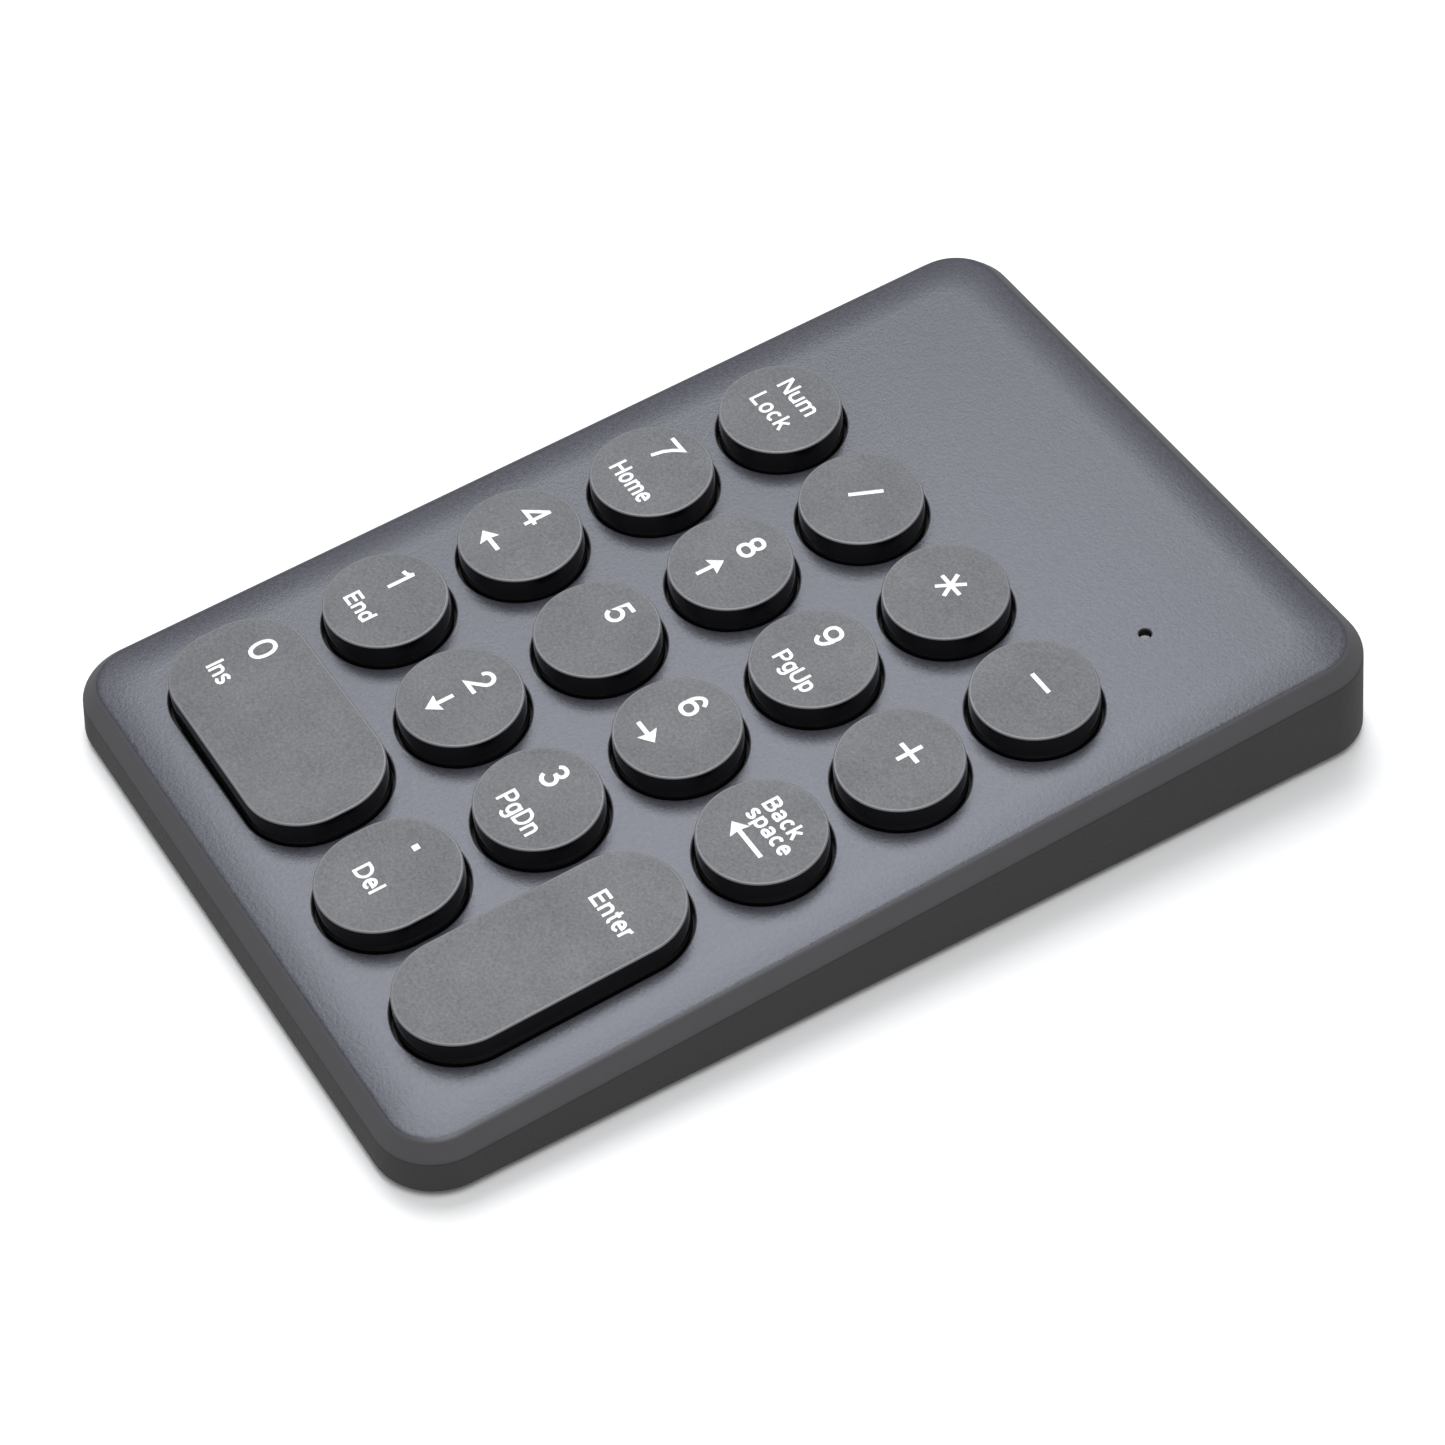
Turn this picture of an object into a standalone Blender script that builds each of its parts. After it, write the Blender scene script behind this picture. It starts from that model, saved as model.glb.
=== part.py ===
"""A wireless numeric keypad: round keys on a wedge-shaped case, with everything inside it.

Lengths in this file are millimetres, and mm() turns them into Blender's metres. Two frames are used:

- the world: +Z up, +X to the user's right, +Y away from the user, with the rubber feet on Z = 0 and the
  origin under the middle of the case;
- the deck: the sloping top face. Its origin is the middle of the four by four key grid, on the deck's
  surface, with +X to the right, +Y up the slope and +Z out of the deck. Objects of the deck frame are
  children of the empty deck_frame.
"""

import math

import bmesh
import bpy
from mathutils import Matrix, Vector

# ---- driving dimensions, in millimetres ----
PITCH = 19.05  # key to key
TILT = math.radians(3.5)  # slope of the deck
FOOT_HEIGHT = 1.0  # from the table to the underside of the case
DECK_DEPTH = 11.23  # from the deck to the case's underside, at the deck's origin, along the deck's normal

CREST_X = 43.4  # the crisp edge round the deck: half its width, and its front and rear ends
CREST_FRONT = -64.27
CREST_REAR = 66.94
CREST_RADIUS = 6.1
ROLL_OFF = 0.49  # how far the deck falls away before that edge, and over what width
ROLL_WIDTH = 6.0
CHAMFER_OUT = 1.9  # the chamfer below the edge
CHAMFER_DOWN = 2.0
FLARE_FRONT = 0.6  # how far the end walls lean out towards the bottom
FLARE_REAR = 0.8
WALL = 2.0
DECK_THICKNESS = 1.6

KEY_RADIUS = 7.85  # of a round key, at the top of its side
KEY_SKIRT_RADIUS = 8.05
KEY_BORE_RADIUS = 6.9
KEY_RISE = 3.3  # key top above the deck
KEY_SKIRT_DEPTH = 0.9
KEY_ROOF = 1.3
KEY_EDGE = 0.3
KEY_HOLE_RADIUS = 8.4
KEY_TRAVEL = 2.0
TALL_STRETCH = 1.1  # the bottom row is this much taller on each side
BOTTOM_ROW = -48.6

PLUNGER = 6.8  # square slider under each key
PLUNGER_END = -2.2
PLUNGER_WALL = 0.9
BARB_REACH = 4.1
GUIDE_BORE = 7.2  # square chimney that it slides in
GUIDE_WALL = 1.0
GUIDE_TOP = -0.8
NOTCH_TOP = -1.65

FRAME_TOP, FRAME_BOTTOM = -3.3, -4.2  # the layers under the keys, as heights in the deck frame
RUBBER_TOP, RUBBER_BOTTOM = -4.3, -4.7
FILM_TOP, FILM_THICKNESS, FILM_STEP = -4.8, 0.15, 0.2
PLATE_TOP, PLATE_BOTTOM = -5.45, -5.95
LAYER_X, LAYER_FRONT, LAYER_REAR = 38.0, -59.8, 39.0

DOME_HEIGHT = 2.0
DOME_BASE_RADIUS = 3.3
DOME_CROWN_RADIUS = 1.7
DOME_WALL = 0.5

WIRE_RADIUS = 0.4  # stabiliser wires of the two long keys
WIRE_ARM_AT = 11.5
WIRE_BAR_AT = 5.7
WIRE_PIVOT_AT = -1.1
WIRE_BAR_Z, WIRE_PIVOT_Z = 0.2, -2.6
WIRE_END_AT = 8.9
HOOK_AT = 9.9
CLIP_AT = 7.8

COVER_THICKNESS = 1.4  # bottom cover
COVER_INSET = 2.45
CAVITY_TOP_INSET = 3.3  # of the hollow's ceiling, inside the case's outer wall
SCREW_PLACES = [(39.6, -61.0), (40.9, -8.0), (40.9, 28.0)]
BOSS_RADIUS = 2.0
PILOT_RADIUS = 0.85
SHANK_RADIUS = 0.75
HEAD_RADIUS = 1.8
FOOT_PLACES = [(29.0, -62.2), (31.0, 63.2)]

LED_X, LED_Y = 26.5, 46.1
LED_HOLE_RADIUS = 0.8
BOARD_X0, BOARD_X1, BOARD_Y0, BOARD_Y1 = -6.0, 42.0, 39.8, 46.8
BOARD_TOP, BOARD_BOTTOM = -5.5, -6.5
TAIL_X0, TAIL_X1, TAIL_END = -1.0, 11.0, 46.8
BAR_SCREW_X = (-3.0, 13.0)
BAR_Y = 43.0

BATTERY_RADIUS = 5.25
BATTERY_Y, BATTERY_Z = 52.8, 8.15
BATTERY_X0, BATTERY_X1 = -36.6, 6.9
DOOR_X0, DOOR_X1, DOOR_Y0, DOOR_Y1 = -37.5, 7.5, 47.1, 58.5
DOOR_GAP = 0.5
DOOR_THICKNESS = 1.3
TAB_X = (-27.0, -3.0)
LATCH_X = -15.0
LATCH_REACH = 0.2

RECEIVER_X, RECEIVER_Z = 21.8, 7.0
RECEIVER_REAR = 67.4
HEAD_WIDTH, HEAD_HEIGHT, HEAD_LENGTH = 14.0, 6.0, 6.0
PLUG_WIDTH, PLUG_HEIGHT, PLUG_LENGTH, PLUG_WALL = 12.0, 4.5, 12.3, 0.35
SLOT_GAP = 0.3

SWITCH_X, SWITCH_Y = 36.0, 43.6
KNOB_X, KNOB_Y = 34.6, 42.0
KNOB_TRAVEL = 2.8
KNOB_AT = (KNOB_X, KNOB_Y, 0)

ROUND_STEPS = 20
CORNER_STEPS = 5
SMALL_STEPS = 10

# ---- what follows from them ----
SLOPE = math.tan(TILT)
COLUMNS = [PITCH * (i - 1.5) for i in range(4)]
CASE_X = CREST_X + CHAMFER_OUT
CASE_FRONT = CREST_FRONT - CHAMFER_OUT
CASE_REAR = CREST_REAR + CHAMFER_OUT
CASE_RADIUS = CREST_RADIUS + CHAMFER_OUT
CHAMFER_Z = -ROLL_OFF - CHAMFER_DOWN
BASE_FRONT = CASE_FRONT - FLARE_FRONT
BASE_REAR = CASE_REAR + FLARE_REAR
UNDERSIDE = FOOT_HEIGHT
COVER_TOP = UNDERSIDE + COVER_THICKNESS


def base_depth(y):
    """Height, in the deck frame, of the case's flat underside."""
    return -(DECK_DEPTH + SLOPE * y)


def tilted_y(y, z):
    return y * math.cos(TILT) - z * math.sin(TILT)


FRONT_FOOTPRINT = tilted_y(BASE_FRONT, base_depth(BASE_FRONT))
REAR_FOOTPRINT = tilted_y(BASE_REAR, base_depth(BASE_REAR))
DECK_Y = -(FRONT_FOOTPRINT + REAR_FOOTPRINT) / 2
DECK_Z = UNDERSIDE + DECK_DEPTH * math.cos(TILT)
HALF_LENGTH = (REAR_FOOTPRINT - FRONT_FOOTPRINT) / 2

# name, column centre, row centre, stretch along X, stretch along Y
ROWS = [1.5 * PITCH, 0.5 * PITCH, -0.5 * PITCH, -1.5 * PITCH]
ENTER_TOP = ROWS[3] + KEY_RADIUS
ENTER_BOTTOM = BOTTOM_ROW - TALL_STRETCH - KEY_RADIUS
KEYS = [
    ("key_num_lock", COLUMNS[0], ROWS[0], 0, 0),
    ("key_divide", COLUMNS[1], ROWS[0], 0, 0),
    ("key_multiply", COLUMNS[2], ROWS[0], 0, 0),
    ("key_minus", COLUMNS[3], ROWS[0], 0, 0),
    ("key_7", COLUMNS[0], ROWS[1], 0, 0),
    ("key_8", COLUMNS[1], ROWS[1], 0, 0),
    ("key_9", COLUMNS[2], ROWS[1], 0, 0),
    ("key_plus", COLUMNS[3], ROWS[1], 0, 0),
    ("key_4", COLUMNS[0], ROWS[2], 0, 0),
    ("key_5", COLUMNS[1], ROWS[2], 0, 0),
    ("key_6", COLUMNS[2], ROWS[2], 0, 0),
    ("key_backspace", COLUMNS[3], ROWS[2], 0, 0),
    ("key_1", COLUMNS[0], ROWS[3], 0, 0),
    ("key_2", COLUMNS[1], ROWS[3], 0, 0),
    ("key_3", COLUMNS[2], ROWS[3], 0, 0),
    ("key_0", (COLUMNS[0] + COLUMNS[1]) / 2, BOTTOM_ROW, PITCH / 2, TALL_STRETCH),
    ("key_decimal", COLUMNS[2], BOTTOM_ROW, 0, TALL_STRETCH),
    (
        "key_enter",
        COLUMNS[3],
        (ENTER_TOP + ENTER_BOTTOM) / 2,
        0,
        (ENTER_TOP - ENTER_BOTTOM) / 2 - KEY_RADIUS,
    ),
]
# Turn of each long key's stabiliser about Z: its bar runs along the key.
STABILISERS = {"key_0": 0.0, "key_enter": math.pi / 2}

# name: colour, roughness, metallic
FINISHES = {
    "case_grey": ((0.085, 0.088, 0.098), 0.45, 0.3),
    "key_grey": ((0.05, 0.05, 0.052), 0.55, 0.0),
    "black_plastic": ((0.02, 0.02, 0.021), 0.5, 0.0),
    "silicone": ((0.62, 0.63, 0.64), 0.6, 0.0),
    "clear_film": ((0.7, 0.74, 0.72), 0.3, 0.0),
    "steel": ((0.55, 0.55, 0.56), 0.3, 1.0),
    "board_green": ((0.02, 0.13, 0.06), 0.4, 0.0),
    "rubber": ((0.015, 0.015, 0.015), 0.85, 0.0),
    "smoke": ((0.03, 0.03, 0.03), 0.1, 0.0),
    "cell_jacket": ((0.05, 0.09, 0.2), 0.3, 0.4),
}


# ---- tools ----
def mm(*values):
    """Millimetres to Blender's metres: one number, or a Vector of three."""
    return values[0] * 0.001 if len(values) == 1 else Vector(values) * 0.001


def clear_scene():
    for obj in list(bpy.data.objects):
        bpy.data.objects.remove(obj)


def new_collection(name):
    collection = bpy.data.collections.new(name)
    bpy.context.scene.collection.children.link(collection)
    return collection


def finish_material(name):
    material = bpy.data.materials.get(name)
    if material:
        return material
    colour, roughness, metallic = FINISHES[name]
    material = bpy.data.materials.new(name)
    material.use_nodes = True
    shader = material.node_tree.nodes["Principled BSDF"]
    shader.inputs["Base Color"].default_value = (*colour, 1.0)
    shader.inputs["Roughness"].default_value = roughness
    shader.inputs["Metallic"].default_value = metallic
    return material


def shade(mesh):
    mesh.shade_smooth()
    mesh.set_sharp_from_angle(angle=math.radians(30))


def add_part(name, mesh, finish, parent=None, place=(0, 0, 0), turn=0.0):
    """A node of the model. place is in millimetres, in the parent's frame, and turn is about its Z."""
    if not mesh.materials:
        mesh.materials.append(finish_material(finish))
    shade(mesh)
    obj = bpy.data.objects.new(name, mesh)
    PARTS.objects.link(obj)
    obj.parent = parent
    obj.location = mm(*place)
    obj.rotation_euler = (0, 0, turn)
    return obj


def add_helper(name, mesh, parent=None, place=(0, 0, 0), turn=0.0):
    """A shape that a Boolean joins to a part or cuts from it."""
    obj = bpy.data.objects.new(name, mesh)
    HELPERS.objects.link(obj)
    obj.parent = parent
    obj.location = mm(*place)
    obj.rotation_euler = (0, 0, turn)
    obj.hide_render = True
    obj.display_type = "WIRE"
    return obj


def combine(obj, other, operation):
    modifier = obj.modifiers.new(f"{operation.lower()} {other.name}", "BOOLEAN")
    modifier.object = other
    modifier.operation = operation


def join(obj, other):
    combine(obj, other, "UNION")


def cut(obj, other):
    combine(obj, other, "DIFFERENCE")


def evaluated_mesh(obj):
    """The object's mesh with its modifiers, or a curve's mesh, with the loose caps of a curve welded on."""
    bpy.context.view_layer.update()
    graph = bpy.context.evaluated_depsgraph_get()
    mesh = bpy.data.meshes.new_from_object(obj.evaluated_get(graph))
    welded = bmesh.new()
    welded.from_mesh(mesh)
    bmesh.ops.remove_doubles(welded, verts=welded.verts, dist=1e-6)
    welded.to_mesh(mesh)
    welded.free()
    return mesh


def rounded_outline(x0, x1, y0, y1, radius, steps=CORNER_STEPS):
    """Points of a rectangle with round corners, anticlockwise from its right side's rear corner."""
    corners = [(x1, y1, 1, 1), (x0, y1, -1, 1), (x0, y0, -1, -1), (x1, y0, 1, -1)]
    points = []
    for quarter, (x, y, side_x, side_y) in enumerate(corners):
        for step in range(steps + 1):
            angle = math.pi / 2 * (quarter + step / steps)
            points.append(
                (
                    x - side_x * radius + radius * math.cos(angle),
                    y - side_y * radius + radius * math.sin(angle),
                )
            )
    return points


def level(outline, height):
    """The outline as a section of a loft. height is a number, or a function of y for a sloping section."""
    at = height if callable(height) else lambda y: height
    return [(x, y, at(y)) for x, y in outline]


def loft(name, sections):
    """A closed solid through sections of equal point counts, from the top one to the bottom one."""
    shape = bmesh.new()
    rings = [[shape.verts.new(mm(*point)) for point in section] for section in sections]
    for upper, lower in zip(rings, rings[1:]):
        for i in range(len(upper)):
            j = (i + 1) % len(upper)
            shape.faces.new((upper[i], lower[i], lower[j], upper[j]))
    shape.faces.new(rings[0])
    shape.faces.new(reversed(rings[-1]))
    mesh = bpy.data.meshes.new(name)
    shape.to_mesh(mesh)
    shape.free()
    return mesh


def slab(name, outline, bottom, top):
    return loft(name, [level(outline, top), level(outline, bottom)])


def boxes(name, ranges):
    """One mesh of separate boxes, each given as (x0, x1, y0, y1, z0, z1)."""
    shape = bmesh.new()
    for x0, x1, y0, y1, z0, z1 in ranges:
        middle = Matrix.Translation(mm((x0 + x1) / 2, (y0 + y1) / 2, (z0 + z1) / 2))
        size = Matrix.Diagonal((*mm(x1 - x0, y1 - y0, z1 - z0), 1.0))
        bmesh.ops.create_cube(shape, size=1.0, matrix=middle @ size)
    mesh = bpy.data.meshes.new(name)
    shape.to_mesh(mesh)
    shape.free()
    return mesh


def box(name, x0, x1, y0, y1, z0, z1):
    return boxes(name, [(x0, x1, y0, y1, z0, z1)])


def cylinders(name, radius, places, bottom, top, steps=SMALL_STEPS):
    """One mesh of separate upright cylinders. bottom and top are numbers, or functions of a place."""
    shape = bmesh.new()
    for x, y in places:
        low = bottom(x, y) if callable(bottom) else bottom
        high = top(x, y) if callable(top) else top
        bmesh.ops.create_cone(
            shape,
            cap_ends=True,
            segments=steps,
            radius1=mm(radius),
            radius2=mm(radius),
            depth=mm(high - low),
            matrix=Matrix.Translation(mm(x, y, (low + high) / 2)),
        )
    mesh = bpy.data.meshes.new(name)
    shape.to_mesh(mesh)
    shape.free()
    return mesh


def turned(name, profile, steps=ROUND_STEPS):
    """A solid of revolution about Z. The profile of (radius, height) runs down its outer side."""
    mesh = bpy.data.meshes.new(name)
    points = [mm(radius, 0, height) for radius, height in profile]
    mesh.from_pydata(points, [(i, i + 1) for i in range(len(points) - 1)], [])
    blank = bpy.data.objects.new(name, mesh)
    HELPERS.objects.link(blank)
    screw = blank.modifiers.new("turn", "SCREW")
    screw.steps = steps
    screw.render_steps = steps
    screw.use_merge_vertices = True
    screw.merge_threshold = 1e-6
    solid = evaluated_mesh(blank)
    bpy.data.objects.remove(blank)
    half_step = Matrix.Rotation(math.pi / steps, 4, "Z")
    solid.transform(half_step)
    return solid


def pull_apart(mesh, stretch_x, stretch_y):
    """Turns a round shape into an oblong one, by moving its four quarters away from each other."""
    for vertex in mesh.vertices:
        for axis, stretch in ((0, stretch_x), (1, stretch_y)):
            place = vertex.co[axis]
            if abs(place) > 1e-7:
                vertex.co[axis] += math.copysign(mm(stretch), place)
    return mesh


def repeated(name, mesh, places):
    """One mesh holding a separate copy of mesh at each (x, y, stretch_x, stretch_y)."""
    shape = bmesh.new()
    for x, y, stretch_x, stretch_y in places:
        copy = pull_apart(mesh.copy(), stretch_x, stretch_y)
        copy.transform(Matrix.Translation(mm(x, y, 0)))
        shape.from_mesh(copy)
    result = bpy.data.meshes.new(name)
    shape.to_mesh(result)
    shape.free()
    return result


def bent_wire(name, points, radius, resolution=1):
    """A round wire through the points, with flat ends."""
    curve = bpy.data.curves.new(name, "CURVE")
    curve.dimensions = "3D"
    curve.bevel_depth = mm(radius)
    curve.bevel_resolution = resolution
    curve.use_fill_caps = True
    spline = curve.splines.new("POLY")
    spline.points.add(len(points) - 1)
    for point, place in zip(spline.points, points):
        point.co = (*mm(*place), 1.0)
    blank = bpy.data.objects.new(name, curve)
    HELPERS.objects.link(blank)
    mesh = evaluated_mesh(blank)
    bpy.data.objects.remove(blank)
    return mesh


def rounded_corner(before, corner, after, radius, steps=3):
    """Points of the bend of a wire at a corner, between the points before and after it."""
    corner = Vector(corner)
    start = corner + (Vector(before) - corner).normalized() * radius
    end = corner + (Vector(after) - corner).normalized() * radius
    points = []
    for step in range(steps + 1):
        share = step / steps
        first = start.lerp(corner, share)
        points.append(tuple(first.lerp(corner.lerp(end, share), share)))
    return points


# ---- the case ----
def case_outline(inset=0.0, radius=CASE_RADIUS, flared=False):
    front, rear = (BASE_FRONT, BASE_REAR) if flared else (CASE_FRONT, CASE_REAR)
    return rounded_outline(-CASE_X + inset, CASE_X - inset, front + inset, rear - inset, radius)


def crest_outline(inset, radius):
    return rounded_outline(
        -CREST_X + inset, CREST_X - inset, CREST_FRONT + inset, CREST_REAR - inset, radius
    )


def make_top_cover():
    """The deck and the four walls, moulded in one piece, open below."""
    roll = []
    for inset in (ROLL_WIDTH, ROLL_WIDTH / 2):
        fall = ROLL_OFF * (1 - inset / ROLL_WIDTH) ** 2
        radius = CREST_RADIUS - inset / 2
        roll.append(level(crest_outline(inset, radius), -fall))
    outer = loft(
        "top_cover",
        [
            *roll,
            level(crest_outline(0, CREST_RADIUS), -ROLL_OFF),
            level(case_outline(), CHAMFER_Z),
            level(case_outline(flared=True), base_depth),
        ],
    )
    cavity = loft(
        "cavity",
        [
            level(case_outline(CAVITY_TOP_INSET, CASE_RADIUS - CAVITY_TOP_INSET), -DECK_THICKNESS),
            level(case_outline(WALL, CASE_RADIUS - WALL), CHAMFER_Z - 0.6),
            level(case_outline(WALL, CASE_RADIUS - WALL, flared=True), lambda y: base_depth(y) - 0.01),
            level(case_outline(WALL, CASE_RADIUS - WALL, flared=True), lambda y: base_depth(y) - 2),
        ],
    )
    cover = add_part("top_cover", outer, "case_grey", DECK)
    cut(cover, add_helper("cavity", cavity, DECK))

    bosses = cylinders("bosses", BOSS_RADIUS, mirrored(SCREW_PLACES), COVER_TOP + 0.15, boss_top)
    join(cover, add_helper("bosses", bosses))
    bar_places = [(x, BAR_Y) for x in BAR_SCREW_X]
    bar_bosses = cylinders("bar_bosses", BOSS_RADIUS - 0.2, bar_places, -3.75, -DECK_THICKNESS / 2)
    join(cover, add_helper("bar_bosses", bar_bosses, DECK))
    pilots = cylinders("pilots", PILOT_RADIUS, mirrored(SCREW_PLACES), UNDERSIDE, 6.6)
    cut(cover, add_helper("pilots", pilots))
    bar_pilots = cylinders("bar_pilots", PILOT_RADIUS, bar_places, -4.5, -2.0)
    cut(cover, add_helper("bar_pilots", bar_pilots, DECK))

    hole = turned("hole", [(0, 1), (KEY_HOLE_RADIUS, 1), (KEY_HOLE_RADIUS, -3), (0, -3)])
    holes = repeated("key_holes", hole, [key[1:] for key in KEYS])
    cut(cover, add_helper("key_holes", holes, DECK))
    led_hole = cylinders("led_hole", LED_HOLE_RADIUS, [(LED_X, LED_Y)], -3, 1, 16)
    cut(cover, add_helper("led_hole", led_hole, DECK))
    half_width, half_height = HEAD_WIDTH / 2 + SLOT_GAP, HEAD_HEIGHT / 2 + SLOT_GAP
    window = box(
        "receiver_window",
        RECEIVER_X - half_width,
        RECEIVER_X + half_width,
        RECEIVER_REAR - 5,
        RECEIVER_REAR + 5,
        RECEIVER_Z - half_height,
        RECEIVER_Z + half_height,
    )
    cut(cover, add_helper("receiver_window", window))


def mirrored(places):
    return [(side * x, y) for x, y in places for side in (-1, 1)]


def boss_top(_x, y):
    """Height in the world that lies inside the deck's thickness at y."""
    return DECK_Z + (y - DECK_Y) * SLOPE - 1.1


def make_bottom_cover():
    """The flat plate under the case, with the battery bay's walls and the receiver's cradle on it."""
    plate = slab(
        "bottom_cover",
        rounded_outline(
            -CASE_X + COVER_INSET,
            CASE_X - COVER_INSET,
            -HALF_LENGTH + COVER_INSET,
            HALF_LENGTH - COVER_INSET,
            CASE_RADIUS - COVER_INSET,
        ),
        UNDERSIDE,
        COVER_TOP,
    )
    cover = add_part("bottom_cover", plate, "black_plastic")
    hole_x0, hole_x1 = DOOR_X0 - DOOR_GAP, DOOR_X1 + DOOR_GAP
    hole_y0, hole_y1 = DOOR_Y0 - DOOR_GAP, DOOR_Y1 + DOOR_GAP
    low, high = COVER_TOP - 0.5, 9.0
    bay = box("bay_walls", -41.7, 10.1, hole_y0 - 1.2, hole_y1 + 1.2, low, high)
    join(cover, add_helper("bay_walls", bay))
    bay_inside = box("bay_inside", -40.6, 8.9, hole_y0, hole_y1, COVER_TOP, high + 1)
    cut(cover, add_helper("bay_inside", bay_inside))
    opening = box("bay_opening", hole_x0, hole_x1, hole_y0, hole_y1, 0, COVER_TOP + 1)
    cut(cover, add_helper("bay_opening", opening))
    tab_slots = [(x - 2.5, x + 2.5, hole_y0 - 2, hole_y0 + 1, COVER_TOP, 5.4) for x in TAB_X]
    latch_slot = (LATCH_X - 3.5, LATCH_X + 3.5, hole_y1 - 1, hole_y1 + 2, COVER_TOP, 4.4)
    cut(cover, add_helper("door_slots", boxes("door_slots", [*tab_slots, latch_slot])))

    half_width = HEAD_WIDTH / 2 + SLOT_GAP
    cradle_front = RECEIVER_REAR - HEAD_LENGTH - PLUG_LENGTH - 0.9
    pocket_floor = RECEIVER_Z - HEAD_HEIGHT / 2 - SLOT_GAP
    cradle = box(
        "cradle",
        RECEIVER_X - half_width - 1.1,
        RECEIVER_X + half_width + 1.1,
        cradle_front,
        HALF_LENGTH - COVER_INSET - 0.4,
        low,
        RECEIVER_Z - 0.5,
    )
    join(cover, add_helper("cradle", cradle))
    pocket = box(
        "pocket",
        RECEIVER_X - half_width,
        RECEIVER_X + half_width,
        cradle_front + 0.6,
        RECEIVER_REAR + 1,
        pocket_floor,
        RECEIVER_Z + 4,
    )
    cut(cover, add_helper("pocket", pocket))

    head_seats = cylinders("head_seats", HEAD_RADIUS + 0.25, mirrored(SCREW_PLACES), 0, UNDERSIDE + 0.85)
    cut(cover, add_helper("head_seats", head_seats))
    clearance = cylinders("screw_clearance", SHANK_RADIUS + 0.3, mirrored(SCREW_PLACES), 0, COVER_TOP + 1)
    cut(cover, add_helper("screw_clearance", clearance))
    seat = repeated("foot_seats", foot_mesh("foot_seat", 0.25, 0, UNDERSIDE + 0.45), foot_places())
    cut(cover, add_helper("foot_seats", seat))
    slot_x = (KNOB_X - 1.8, KNOB_X + KNOB_TRAVEL + 1.8)
    cut(cover, add_helper("knob_slot", box("knob_slot", *slot_x, KNOB_Y - 1.6, KNOB_Y + 1.6, 0, 4)))


# ---- keys and what guides them ----
def key_profile():
    top = KEY_RISE
    under = KEY_RISE - KEY_ROOF
    return [
        (0, top),
        (KEY_RADIUS - KEY_EDGE, top),
        (KEY_RADIUS, top - KEY_EDGE),
        (KEY_SKIRT_RADIUS, 0),
        (KEY_SKIRT_RADIUS, -KEY_SKIRT_DEPTH),
        (KEY_BORE_RADIUS, -KEY_SKIRT_DEPTH),
        (KEY_BORE_RADIUS, under),
        (0, under),
    ]


def key_mesh(stretch_x, stretch_y, stabiliser_turn=None):
    """A hollow cap with a square slider that has a cross in it and a barb on two sides."""
    under = KEY_RISE - KEY_ROOF
    cap = pull_apart(turned("key_cap", key_profile()), stretch_x, stretch_y)
    blank = add_helper("key_blank", cap)
    half = PLUNGER / 2
    slider = add_helper("slider", box("slider", -half, half, -half, half, PLUNGER_END, under + 0.3))
    barb = box("barb", -BARB_REACH, BARB_REACH, -0.9, 0.9, PLUNGER_END, PLUNGER_END + 0.4)
    barbs = add_helper("barb", barb)
    join(blank, slider)
    join(blank, barbs)
    near, far = 0.4, half - PLUNGER_WALL
    spans = [(-far, -near), (near, far)]
    pockets = [(*x, *y, PLUNGER_END - 0.5, 1.2) for x in spans for y in spans]
    cut(blank, add_helper("pockets", boxes("pockets", pockets)))
    if stabiliser_turn is not None:
        clips, slots = [], []
        for u in (-CLIP_AT, CLIP_AT):
            clips.append((u - 0.8, u + 0.8, WIRE_BAR_AT - 0.8, WIRE_BAR_AT + 1.6, -0.5, under + 0.3))
            slots.append((u - 2, u + 2, WIRE_BAR_AT - 0.5, WIRE_BAR_AT + 1.05, -0.28, 0.7))
        join(blank, add_helper("clips", boxes("clips", clips), turn=stabiliser_turn))
        cut(blank, add_helper("clip_slots", boxes("clip_slots", slots), turn=stabiliser_turn))
    mesh = evaluated_mesh(blank)
    mesh.name = "key_mesh"
    bpy.data.objects.remove(blank)
    return mesh


def make_keys():
    round_key = key_mesh(0, 0)
    for name, x, y, stretch_x, stretch_y in KEYS:
        if stretch_x or stretch_y:
            mesh = key_mesh(stretch_x, stretch_y, STABILISERS.get(name))
        else:
            mesh = round_key
        add_part(name, mesh, "key_grey", DECK, (x, y, 0))


def make_stabilisers():
    """A bent wire under each long key, which keeps it level."""
    for name, x, y, _, _ in KEYS:
        if name not in STABILISERS:
            continue
        bar, pivot = (WIRE_BAR_AT, WIRE_BAR_Z), (WIRE_PIVOT_AT, WIRE_PIVOT_Z)
        right = [(WIRE_END_AT, *pivot), (WIRE_ARM_AT, *pivot), (WIRE_ARM_AT, *bar), (0, *bar)]
        half = [
            right[0],
            *rounded_corner(right[0], right[1], right[2], 0.9),
            *rounded_corner(right[1], right[2], right[3], 0.9),
        ]
        points = half + [(-u, v, w) for u, v, w in reversed(half)]
        mesh = bent_wire("wire", points, WIRE_RADIUS)
        part_name = name.replace("key", "stabiliser_wire")
        add_part(part_name, mesh, "steel", DECK, (x, y, 0), STABILISERS[name])


def key_boxes(half_x, half_y, low, high):
    return [(x - half_x, x + half_x, y - half_y, y + half_y, low, high) for _, x, y, _, _ in KEYS]


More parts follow.
